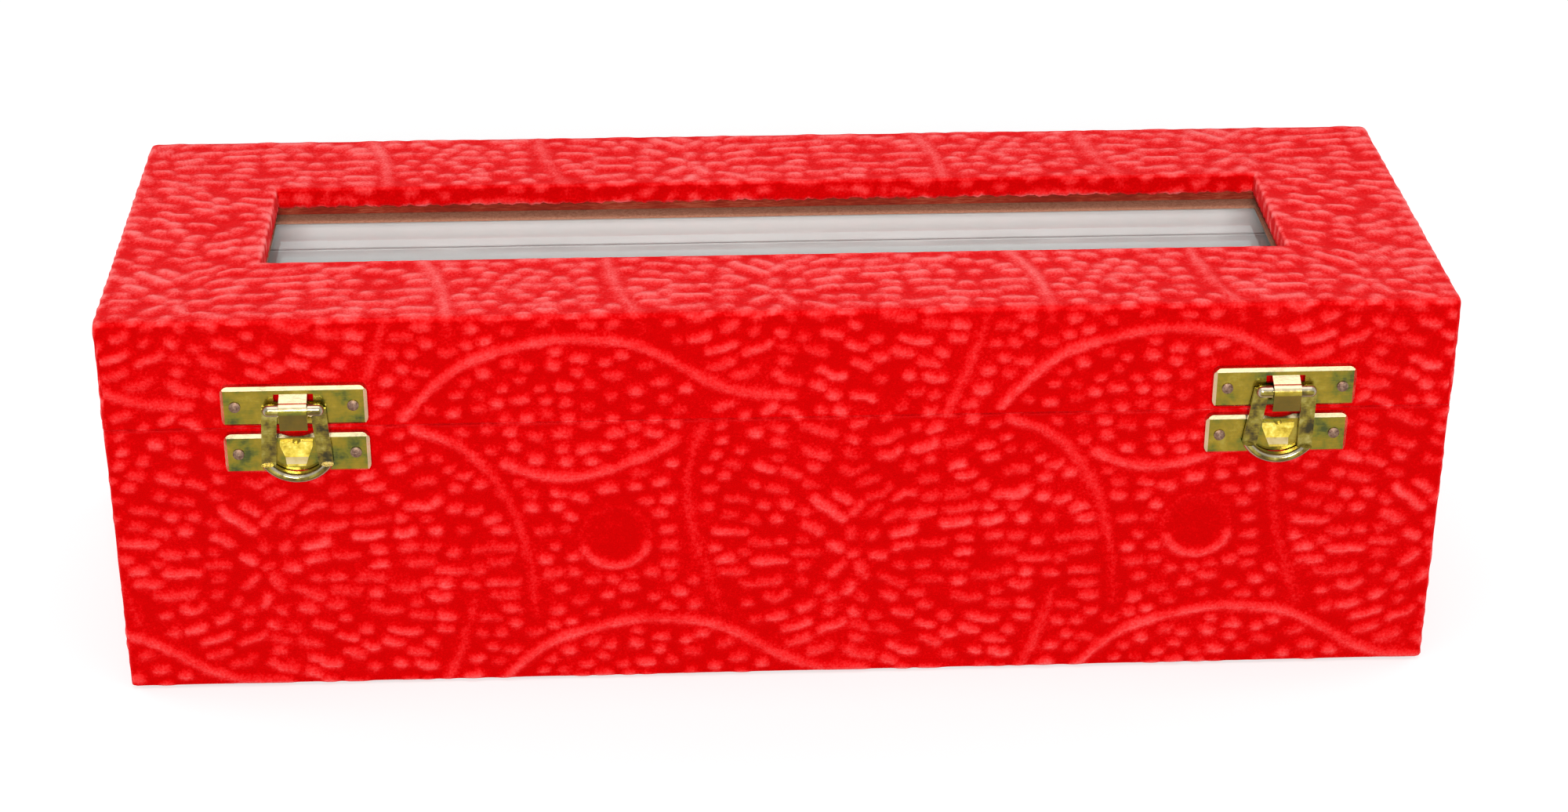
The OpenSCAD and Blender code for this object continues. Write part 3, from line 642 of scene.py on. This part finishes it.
def ring(rect, radius):
    """Points round a rectangle with round corners, from the front left, with each one's outward way."""
    x0, x1, y0, y1 = rect
    centres = [(x1 - radius, y0 + radius), (x1 - radius, y1 - radius), (x0 + radius, y1 - radius),
               (x0 + radius, y0 + radius)]
    starts = [(x0 + radius, y0), (x1, y0 + radius), (x1 - radius, y1), (x0, y1 - radius)]
    ends = [(x1 - radius, y0), (x1, y1 - radius), (x0 + radius, y1), (x0, y0 + radius)]
    points, ways = [], []
    for side, count in enumerate(AROUND):
        first_angle = math.radians(90 * side - 90)
        share = np.linspace(0, 1, count + 1)[:, None]
        points.append(np.array(starts[side]) * (1 - share) + np.array(ends[side]) * share)
        ways.append(np.tile([math.cos(first_angle), math.sin(first_angle)], (count + 1, 1)))
        angles = first_angle + np.linspace(0, math.pi / 2, CORNER_STEPS + 1)[1:-1]
        way = np.stack([np.cos(angles), np.sin(angles)], 1)
        points.append(np.array(centres[side]) + radius * way)
        ways.append(way)
    return np.vstack(points), np.vstack(ways)


def inset(rect, by):
    """A rectangle drawn in by a width on every side."""
    x0, x1, y0, y1 = rect
    return (x0 + by, x1 - by, y0 + by, y1 - by)


def between(rect, other, share):
    """The rectangle that lies a share of the way from one to another."""
    return tuple(a + (b - a) * share for a, b in zip(rect, other))


# One turn of a cover round the box: its outline and corner radius, its height, how far it faces outward
# and upward, its share of the relief, its way down the cloth from the top's edge, its share of the fray
Row = namedtuple("Row", "rect radius z outward upward relief drop fray", defaults=(0.0, 0.0, 0.0, 0.0, 0.0))


def sweep(section, cloth_place):
    """Points of a cover and the height of the pattern on each of them."""
    points, heights = [], []
    for row in section:
        plan, ways = ring(row.rect, row.radius)
        flat = np.column_stack([plan, row.z + row.fray * fray(plan)])
        normal = np.column_stack([ways * row.outward, np.full(len(plan), row.upward)])
        u, v = cloth_place(plan, ways, row.z, row.drop)
        cell = FILLED if row.upward > 0.5 else RINGED
        raised = look_up(cell, u, v) ** (1 - BRUSHED * max(row.upward, 0.0))
        lift = row.relief * RELIEF * (raised - 0.5) * edge_calm(plan, ways, row.z)
        held = pressed(flat, normal)
        lift = lift * (1 - held) - PRESSED_IN * held * (row.relief > 0)
        points.append(flat + normal * lift[:, None])
        folded = 2 * abs(row.outward * row.upward) * (row.z > LID_TOP - TOP_EDGE_R)
        heights.append(raised * (1 - 0.5 * held) + EDGE_PALE * folded)
    return np.array(points), np.array(heights)


def fray(plan):
    """Uneven height of a cut velvet edge along its run."""
    run = plan[:, 0] + 1.7 * plan[:, 1]
    return HEM_FRAY * ripple(run, run, FRAY_WAVES, SEED + 20)


def ripple(u, v, waves, seed):
    """Soft folds from a few seeded waves, each (length along u, length along v, height) in millimetres."""
    draw = np.random.default_rng(seed)
    total = 0
    for along_u, along_v, height in waves:
        phase, sway = draw.uniform(0, 2 * math.pi, 2)
        bent = 0.6 * np.sin(2 * math.pi * v / (3.1 * along_v) + sway)
        total = total + height * np.sin(2 * math.pi * (u / along_u + v / along_v) + phase + bent)
    return total


def edge_calm(plan, ways, z):
    """The pile lies flatter where the cloth is pulled over an edge: 1 on the faces, less at the edges."""
    high = size_mm("lid_velvet")[1]
    x, y = np.abs(plan).T
    if z > LID_TOP - 0.5:
        x0, x1, y0, y1 = hole_rect("lid_top_panel")
        beside = np.maximum(np.maximum(x0 - plan[:, 0], plan[:, 0] - x1),
                            np.maximum(y0 - plan[:, 1], plan[:, 1] - y1))
        away = np.minimum(np.minimum(high[0] - x, high[1] - y), beside)
    else:
        sideways = np.abs(ways[:, 1]) > np.abs(ways[:, 0])
        away = np.minimum(np.where(sideways, high[0] - x, high[1] - y), LID_TOP - z)
    return np.clip(EDGE_CALM + np.clip(away, 0, None) / CALM_WAY, EDGE_CALM, 1)


PRESSERS = [f"{plate}_{side}" for side in ("left", "right")
            for plate in ("catch_plate", "keeper_plate", "hinge_base_leaf", "hinge_lid_leaf")]


def pressed(points, normals):
    """How far a plate or leaf presses the pile down at each point, from 0 to 1."""
    held = np.zeros(len(points))
    for name in PRESSERS:
        low, high = size_mm(name)
        facing = (normals[:, 1] < -0.5) if low[1] < 0 else (normals[:, 1] > 0.5)
        aside = np.maximum(np.abs(points[:, 0] - (low[0] + high[0]) / 2) - (high[0] - low[0]) / 2, 0)
        above = np.maximum(np.abs(points[:, 2] - (low[2] + high[2]) / 2) - (high[2] - low[2]) / 2, 0)
        share = np.clip(1 - (np.hypot(aside, above) - PRESS_BESIDE) / PRESS_FADE, 0, 1)
        held = np.maximum(held, facing * share)
    return held


def cover(name, section, cloth_place):
    """The mesh of a cover, with its pattern's height on every point."""
    points, heights = sweep(section, cloth_place)
    rows, around = heights.shape
    piece = mesh_object(name, points.reshape(-1, 3), swept_faces(rows, around), [VELVET])
    relief = piece.data.attributes.new("relief", "FLOAT", "POINT")
    relief.data.foreach_set("value", heights.ravel().astype(np.float32))
    return piece


def arc_rows(count):
    """Angles of a quarter turn, without its two ends."""
    return np.linspace(0, math.pi / 2, count + 2)[1:-1]


def outline_rect(low, high):
    """The rectangle of a box, seen from above."""
    return (low[0], high[0], low[1], high[1])


def lid_section():
    """From the rim up the walls, over the top, down into the window, and back inside the velvet."""
    low, high = size_mm("lid_velvet")
    outer = outline_rect(low, high)
    bottom, top = low[2], high[2]
    hole = inset(hole_rect("lid_top_panel"), NAP)
    rows = []
    for angle in arc_rows(2):
        rows.append(Row(inset(outer, SEAM_R * (1 - math.sin(angle))), CORNER_R,
                        bottom - RIM_SWELL + SEAM_R * (1 - math.cos(angle)),
                        math.sin(angle), -math.cos(angle), 0.4, top - bottom))
    for z in np.linspace(bottom + SEAM_R, top - TOP_EDGE_R, round((top - bottom) / WALL_STEP)):
        rows.append(Row(outer, CORNER_R, z, 1.0, 0.0, 1.0, top - z))
    for angle in arc_rows(3):
        z = top - TOP_EDGE_R * (1 - math.sin(angle))
        rows.append(Row(inset(outer, TOP_EDGE_R * (1 - math.cos(angle))), CORNER_R, z,
                        math.cos(angle), math.sin(angle), 0.8, (top - z) * 0.5))
    edge = inset(outer, TOP_EDGE_R)
    brink = inset(hole, -WINDOW_EDGE_R)
    for share in np.linspace(0, 1, round((brink[2] - edge[2]) / TOP_STEP)):
        radius = CORNER_R * (1 - share) + TUCK_R * share
        rows.append(Row(between(edge, brink, share), radius, top, 0.0, 1.0, 1.0))
    for angle in arc_rows(3):
        z = top - WINDOW_EDGE_R * (1 - math.cos(angle))
        rows.append(Row(inset(hole, -WINDOW_EDGE_R * (1 - math.sin(angle))), TUCK_R, z,
                        -math.sin(angle), math.cos(angle), 0.7, z - top))
    hem = top - WINDOW_TURN
    for share in np.linspace(0, 1, 6):
        z = top - WINDOW_EDGE_R + (hem - top + WINDOW_EDGE_R) * share
        rows.append(Row(hole, TUCK_R, z, -1.0, 0.0, 0.6 * (1 - share), z - top, share))
    rows.append(Row(inset(hole, -NAP / 2), TUCK_R, hem, 0.0, -1.0, 0.0, -WINDOW_TURN, 0.8))
    rows.append(Row(inset(hole, -NAP), TUCK_R, hem, 0.0, -1.0, 0.0, -WINDOW_TURN))
    rows.append(Row(inset(hole, -NAP), TUCK_R, top - NAP))
    rows.append(Row(inset(outer, NAP), TUCK_R, top - NAP))
    rows.append(Row(inset(outer, NAP), TUCK_R, bottom + NAP))
    rows.append(Row(inset(outer, BOARD_WALL), TUCK_R, bottom + NAP))
    rows.append(Row(inset(outer, BOARD_WALL), TUCK_R, bottom))
    for share in np.linspace(0.15, 0.85, 6):
        rows.append(Row(inset(outer, BOARD_WALL + (SEAM_R - BOARD_WALL) * share), TUCK_R,
                        bottom - RIM_SWELL * share, 0.0, -1.0, 0.25, top - bottom + 2))
    return rows


def base_section():
    """From the foot up the walls, over the rim, and back inside the velvet to the hem below."""
    low, high = size_mm("base_velvet")
    outer = outline_rect(low, high)
    bottom, top = low[2], high[2]
    rows = []
    for angle in arc_rows(2):
        rows.append(Row(inset(outer, FOOT_R * (1 - math.sin(angle))), CORNER_R,
                        bottom + FOOT_R * (1 - math.cos(angle)), math.sin(angle), -math.cos(angle), 0.3))
    for z in np.linspace(bottom + FOOT_R, top - SEAM_R, round((top - bottom) / WALL_STEP)):
        rows.append(Row(outer, CORNER_R, z, 1.0, 0.0, 1.0))
    for angle in arc_rows(2):
        rows.append(Row(inset(outer, SEAM_R * (1 - math.cos(angle))), CORNER_R,
                        top + RIM_SWELL - SEAM_R * (1 - math.sin(angle)),
                        math.cos(angle), math.sin(angle), 0.4))
    for share in np.linspace(0.15, 0.85, 6):
        rows.append(Row(inset(outer, SEAM_R + (BOARD_WALL - SEAM_R) * share), TUCK_R,
                        top + RIM_SWELL * (1 - share), 0.0, 1.0, 0.25))
    rows.append(Row(inset(outer, BOARD_WALL), TUCK_R, top))
    rows.append(Row(inset(outer, BOARD_WALL), TUCK_R, top - NAP))
    rows.append(Row(inset(outer, NAP), TUCK_R, top - NAP))
    rows.append(Row(inset(outer, NAP), TUCK_R, bottom + NAP))
    rows.append(Row(inset(outer, BASE_HEM), TUCK_R, bottom + NAP))
    rows.append(Row(inset(outer, BASE_HEM), TUCK_R, bottom))
    for share in np.linspace(0.1, 0.9, 8):
        rows.append(Row(inset(outer, BASE_HEM + (FOOT_R - BASE_HEM) * share), TUCK_R, bottom))
    return rows


def lid_cloth(plan, ways, z, drop):
    """Where a point of the lid lies on the cloth: the top runs on down each wall and into the window."""
    top_v = LID_TOP - FRONT
    return plan[:, 0] + ways[:, 0] * drop, top_v + plan[:, 1] + ways[:, 1] * drop


def base_cloth(plan, ways, z, drop):
    """Where a point of the base lies on the cloth: a strip wrapped round the walls."""
    half_w = size_mm("base_velvet")[1][0]
    depth = -2 * FRONT
    x, y = plan.T
    side = np.argmax(np.stack([-ways[:, 1], ways[:, 0], ways[:, 1], -ways[:, 0]]), 0)
    u = np.choose(side, [x, half_w + y - FRONT, 2 * half_w + depth - x, -half_w - y + FRONT])
    return u, np.full(len(x), z)


def make_covers():
    """The two velvet covers, one over the lid and one round the base."""
    lid = cover("lid_velvet_cover", lid_section(), lid_cloth)
    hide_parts("lid_velvet")
    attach(lid, "lid")
    base = cover("base_velvet_cover", base_section(), base_cloth)
    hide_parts("base_velvet")
    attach(base, "base")


make_covers()


# Satin inside: linings, floor cushion and roll

def satin_wall(name, replaced, body, seed):
    """A lining glued round the walls, with soft folds that sink into its thickness."""
    low, high = size_mm(replaced)
    outer = outline_rect(low, high)
    ceiling_low, ceiling_high = size_mm("lid_top_lining")
    thick = ceiling_high[2] - ceiling_low[2]
    edge_r = SATIN_EDGE_R
    wide_corner_r = 2 * SATIN_CORNER_R
    bottom, top = low[2], high[2]
    rows = [(outer, SATIN_CORNER_R, bottom, 0), (outer, SATIN_CORNER_R, top, 0)]
    for angle in arc_rows(2):
        rect = inset(outer, thick - edge_r * (1 - math.sin(angle)))
        rows.append((rect, SATIN_CORNER_R, top - edge_r * (1 - math.cos(angle)), 0.3))
    for z in np.linspace(top - edge_r, bottom + edge_r, round((top - bottom) / SATIN_STEP)):
        rows.append((inset(outer, thick), wide_corner_r, z, 1.0))
    rows.append((inset(outer, thick), wide_corner_r, bottom, 0))
    points = []
    for rect, radius, z, fold in rows:
        plan, ways = ring(rect, radius)
        run = np.concatenate([[0], np.cumsum(np.hypot(*np.diff(plan, axis=0).T))])
        folds = ripple(run, np.full(len(run), z), WALL_FOLDS, seed)
        sunk = np.clip(WALL_SINK + folds, *WALL_SINK_RANGE) * fold
        points.append(np.column_stack([plan + ways * sunk[:, None], np.full(len(plan), z)]))
    points = np.array(points)
    piece = mesh_object(name, points.reshape(-1, 3), swept_faces(*points.shape[:2]), [SATIN])
    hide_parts(replaced)
    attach(piece, body)


def lid_ceiling():
    """Satin on card under the lid, holed for the window: satin below, raw card above and at the hole."""
    low, high = size_mm("lid_top_lining")
    outer = outline_rect(low, high)
    hole = hole_rect("lid_top_lining")
    bottom, top = low[2], high[2]
    edge_r = CEILING_EDGE_R
    rows = [(outer, bottom, 0), (outer, top, 0), (inset(hole, -CEILING_CARD), top, 0),
            (hole, top - edge_r, 0), (hole, bottom + edge_r, 0)]
    card_rows = len(rows) - 1
    for share in np.linspace(0, 1, CEILING_ROWS):
        rect = between(inset(hole, -edge_r), inset(outer, edge_r), share)
        rows.append((rect, bottom, math.sin(math.pi * share)))
    points = []
    for rect, z, fold in rows:
        plan, ways = ring(rect, TUCK_R)
        folds = ripple(*plan.T, CEILING_FOLDS, SEED + 3)
        sunk = np.clip(CEILING_SINK + folds, *CEILING_SINK_RANGE) * fold
        points.append(np.column_stack([plan, z + sunk]))
    points = np.array(points)
    faces = swept_faces(*points.shape[:2])
    piece = mesh_object("lid_ceiling_satin", points.reshape(-1, 3), faces, [IVORY_PAINTED_SHADE, CARD])
    slots = np.zeros(len(piece.data.polygons), np.int32)
    slots[:card_rows * points.shape[1]] = 1
    piece.data.polygons.foreach_set("material_index", slots)
    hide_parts("lid_top_lining")
    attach(piece, "lid")


def floor_cushion():
    """Thin wadding under satin on the floor: crowned, its sides drawn in, puckered at the tuck."""
    low, high = size_mm("floor_pad")
    half = (high - low)[:2] / 2
    from_edge = np.array([0, 0.12, 0.35, 0.8, 1.4, 2.2, 3.2, 4.6, 6.2, 8.0])
    columns = []
    for size in half:
        inside = size - CUSHION_BORDER
        inner = np.linspace(-inside, inside, round(2 * inside / CUSHION_STEP) + 1)
        columns.append(np.concatenate([from_edge - size, inner, size - from_edge[::-1]]))
    x, y = np.meshgrid(*columns)
    a, b = x / half[0], y / half[1]
    px = x - np.sign(x) * CUSHION_DRAW_IN * np.abs(a) ** 6 * (1 - b**2)
    py = y - np.sign(y) * CUSHION_DRAW_IN * np.abs(b) ** 6 * (1 - a**2)
    edge = np.minimum(half[0] - np.abs(x), half[1] - np.abs(y))
    along = np.where(half[0] - np.abs(x) < half[1] - np.abs(y), y, x)
    crown = high[2] - low[2] - CUSHION_SIDE_R
    lip = CUSHION_SIDE_R * np.sqrt(1 - (1 - np.clip(edge / CUSHION_SIDE_R, 0, 1)) ** 2)
    swell = crown * (1 - np.exp(-edge / CUSHION_SWELL_WAY))
    tucks = ripple(along, edge, CUSHION_TUCKS, SEED + 5)
    pucker = CUSHION_PUCKER * np.exp(-((edge - 4) / 5.5) ** 2) * tucks * np.clip(edge, 0, 1)
    lumps = ripple(x, y, CUSHION_LUMPS, SEED + 6)
    soft = (lumps - 0.35) * np.clip(edge / 12, 0, 1)
    z = np.clip(lip + swell + pucker + soft, 0, high[2] - low[2])
    lines, places = x.shape
    middle = (low + high) / 2
    top = np.stack([px + middle[0], py + middle[1], low[2] + z], -1).reshape(-1, 3)
    index = np.arange(lines * places).reshape(lines, places)
    inner = np.zeros((lines, places), bool)
    inner[1:-1, 1:-1] = True
    under = index.copy()
    under[inner] = lines * places + np.arange(inner.sum())
    below = top[index[inner]].copy()
    below[:, 2] = low[2]
    up = np.stack([index[:-1, :-1], index[:-1, 1:], index[1:, 1:], index[1:, :-1]], -1).reshape(-1, 4)
    down = np.stack([under[:-1, :-1], under[1:, :-1], under[1:, 1:], under[:-1, 1:]], -1).reshape(-1, 4)
    piece = mesh_object("floor_cushion", np.vstack([top, below]), np.vstack([up, down]), [IVORY_PAINTED_SHADE])
    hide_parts("floor_pad")
    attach(piece, "base")


def bangle_roll():
    """The padded roll: a satin sleeve over wadding, gathered at both ends and sewn along its underside."""
    low, high = size_mm("roll_sleeve")
    tube_r = size_mm("roll_tube")[1][1]
    disc_low, disc_high = size_mm("roll_disc_right")
    disc_r = disc_high[1]
    half = high[0]
    radius = high[1]
    axis_z = (low[2] + high[2]) / 2
    end_r = radius - disc_r
    right_end = [(half - end_r * (1 - math.cos(angle)), disc_r + end_r * math.sin(angle))
                 for angle in np.linspace(0, math.pi / 2, 8)[:-1]]
    body = [(x, radius) for x in np.linspace(half - end_r, end_r - half, 150)]
    left_end = [(-x, r) for x, r in reversed(right_end)]
    inner = [(-half, disc_r), (-disc_low[0], disc_r), (-disc_low[0], tube_r), (disc_low[0], tube_r),
             (disc_low[0], disc_r)]
    turn = np.linspace(0, 2 * math.pi, ROLL_AROUND, endpoint=False)
    off_seam = np.abs((turn - SLEEVE_SEAM + math.pi) % (2 * math.pi) - math.pi) * radius
    points = []
    for x, r in right_end + body + left_end + inner:
        here = np.full(ROLL_AROUND, x)
        depth = half - abs(x)
        tucks = ripple(turn * 60, here, ROLL_TUCKS, SEED + (8 if x > 0 else 9))
        lumps = ripple(here, turn * radius, ROLL_LUMPS, SEED + 10)
        stitched = 1 + STITCH_DEPTH * math.sin(2 * math.pi * x / STITCH)
        seam = -SEAM_DEPTH * np.exp(-(off_seam / SEAM_WIDTH) ** 2) * stitched
        gather = ROLL_GATHER * math.exp(-depth / ROLL_GATHER_WAY) * tucks
        change = gather + lumps - ROLL_SINK + seam
        size = r + change * min(1.0, (r - disc_r) / end_r + 0.15) * (r > disc_r)
        points.append(np.stack([here, size * np.cos(turn), axis_z + size * np.sin(turn)], 1))
    points = np.array(points)
    piece = mesh_object("bangle_roll_satin", points.reshape(-1, 3), swept_faces(*points.shape[:2]), [IVORY_PAINTED_SHADE])
    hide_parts("roll_padding", "roll_sleeve")
    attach(piece, "roll")


satin_wall("base_wall_satin", "base_lining", "base", SEED + 1)
satin_wall("lid_wall_satin", "lid_wall_lining", "lid", SEED + 2)
lid_ceiling()
floor_cushion()
bangle_roll()


# CAD nodes that stay, with their finish

FINISHES = {
    "base_paper": PAPER, "base_floor": BOARD, "base_front_panel": BOARD, "base_back_panel": BOARD,
    "base_left_end": BOARD, "base_right_end": BOARD, "rod_cradle_left": IVORY_PAINTED_SHADE, "rod_cradle_right": IVORY_PAINTED_SHADE,
    "keeper_plate_left": PLATE_BRASS, "keeper_plate_right": PLATE_BRASS,
    "keeper_tongue_left": TONGUE_BRASS, "keeper_tongue_right": TONGUE_BRASS, "keeper_nails": NAIL,
    "hinge_base_leaf_left": PLATE_BRASS, "hinge_base_leaf_right": PLATE_BRASS, "hinge_pins": NAIL,
    "hinge_base_nails": NAIL, "lid_top_panel": BOARD, "lid_front_rail": BOARD, "lid_back_rail": BOARD,
    "lid_left_end": BOARD, "lid_right_end": BOARD, "window_pane": PANE, "pane_frame": CARD,
    "catch_plate_left": PLATE_BRASS, "catch_plate_right": PLATE_BRASS, "catch_nails": NAIL,
    "hinge_lid_leaf_left": PLATE_BRASS, "hinge_lid_leaf_right": PLATE_BRASS, "hinge_lid_nails": NAIL,
    "hasp_loop_left": LOOP_BRASS, "hasp_loop_right": LOOP_BRASS, "rod_dowel": WOOD, "roll_tube": CARD,
    "roll_disc_left": WOOD, "roll_disc_right": WOOD,
}
for name, finish in FINISHES.items():
    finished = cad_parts[name]
    finished.data.materials.clear()
    finished.data.materials.append(finish)


# Floor, light and camera

def light_path(material, *names):
    """1 where the ray is of any of the named kinds."""
    path = node(material, "LightPath")
    total = path.outputs[names[0]]
    for name in names[1:]:
        total = maths(material, "MAXIMUM", total, path.outputs[name])
    return total


def make_floor():
    """A white floor that keeps the box's shadow; far from the box it is plain white."""
    floor_z = size_mm("base_paper")[0][2]
    corners = [(x * FLOOR_REACH, y * FLOOR_REACH, floor_z) for x, y in ((-1, -1), (1, -1), (1, 1), (-1, 1))]
    white = new_material("floor_white", Base_Color=(FLOOR_GREY, FLOOR_GREY, FLOOR_GREY, 1), Roughness=0.9,
                         Specular_IOR_Level=0.0)
    surface = white.node_tree.nodes["Principled BSDF"]
    away = node(white, "VectorMath", {0: place(white)}, operation="LENGTH").outputs["Value"]
    strength = spread(white, away, FLOOR_NEAR, FLOOR_FAR, FLOOR_GLOW, 1.0)
    glow = node(white, "Emission", {"Color": WHITE, "Strength": strength})
    seen = light_path(white, *SEEN_RAYS)
    extra = node(white, "MixShader", {0: seen, 2: glow.outputs[0]})
    both = node(white, "AddShader", {0: surface.outputs[0], 1: extra.outputs[0]})
    white.node_tree.links.new(both.outputs[0], white.node_tree.nodes["Material Output"].inputs["Surface"])
    floor = mesh_object("floor", corners, [(0, 1, 2, 3)], [white], smooth=False)


def make_world():
    """Dim as a light, and white where it is seen, mirrored or looked at through a clear piece."""
    world = bpy.data.worlds.new("soft_world")
    bpy.context.scene.world = world
    world.use_nodes = True
    world.node_tree.nodes.clear()
    seen = light_path(world, *SEEN_RAYS)
    lit = node(world, "Background", {"Color": WHITE, "Strength": WORLD_LIGHT})
    shown = node(world, "Background", {"Color": WHITE, "Strength": 1.0})
    chosen = node(world, "MixShader", {0: seen, 1: lit.outputs[0], 2: shown.outputs[0]})
    node(world, "OutputWorld", {"Surface": chosen.outputs[0]})


def soft_lamp(name, azimuth, elevation, distance, size, watts):
    """A rectangular lamp that looks at the middle of the box. Azimuth 0 is in front, 90 to the right."""
    light = bpy.data.lights.new(name, "AREA")
    light.shape = "RECTANGLE"
    light.size, light.size_y = (side * MM for side in size)
    light.energy = watts
    lamp = bpy.data.objects.new(name, light)
    bpy.context.scene.collection.objects.link(lamp)
    a, e = math.radians(azimuth), math.radians(elevation)
    away = Vector((math.sin(a) * math.cos(e), -math.cos(a) * math.cos(e), math.sin(e)))
    lamp.location = Vector(LAMPS_AIM) * MM + away * distance * MM
    lamp.rotation_euler = away.to_track_quat("Z", "Y").to_euler()


def make_lamps():
    """A key in front, a wide lamp overhead, and one behind and at each side."""
    soft_lamp("front_key", -2, 24, 1600, (480, 240), 21)
    soft_lamp("overhead_softbox", 0, 78, 1400, (1150, 950), 6.5)
    soft_lamp("back_softbox", 180, 29, 1600, (1500, 420), 3)
    soft_lamp("left_fill", -114, 14, 1600, (900, 420), 8)
    soft_lamp("right_fill", 114, 14, 1600, (900, 420), 8)


def make_camera():
    """The photograph's camera."""
    camera = bpy.data.cameras.new("camera")
    camera.sensor_width = SENSOR
    camera.lens = LENS
    camera.clip_start = 10 * MM
    seat = bpy.data.objects.new("camera", camera)
    bpy.context.scene.collection.objects.link(seat)
    turn = (Matrix.Rotation(-math.radians(CAMERA_YAW), 4, "Z")
            @ Matrix.Rotation(math.radians(90 - CAMERA_DOWN), 4, "X")
            @ Matrix.Rotation(math.radians(CAMERA_ROLL), 4, "Z"))
    seat.matrix_world = Matrix.Translation(Vector(CAMERA_PLACE) * MM) @ turn
    bpy.context.scene.camera = seat


make_floor()
make_world()
make_lamps()
make_camera()
bpy.context.scene.view_settings.view_transform = "Standard"
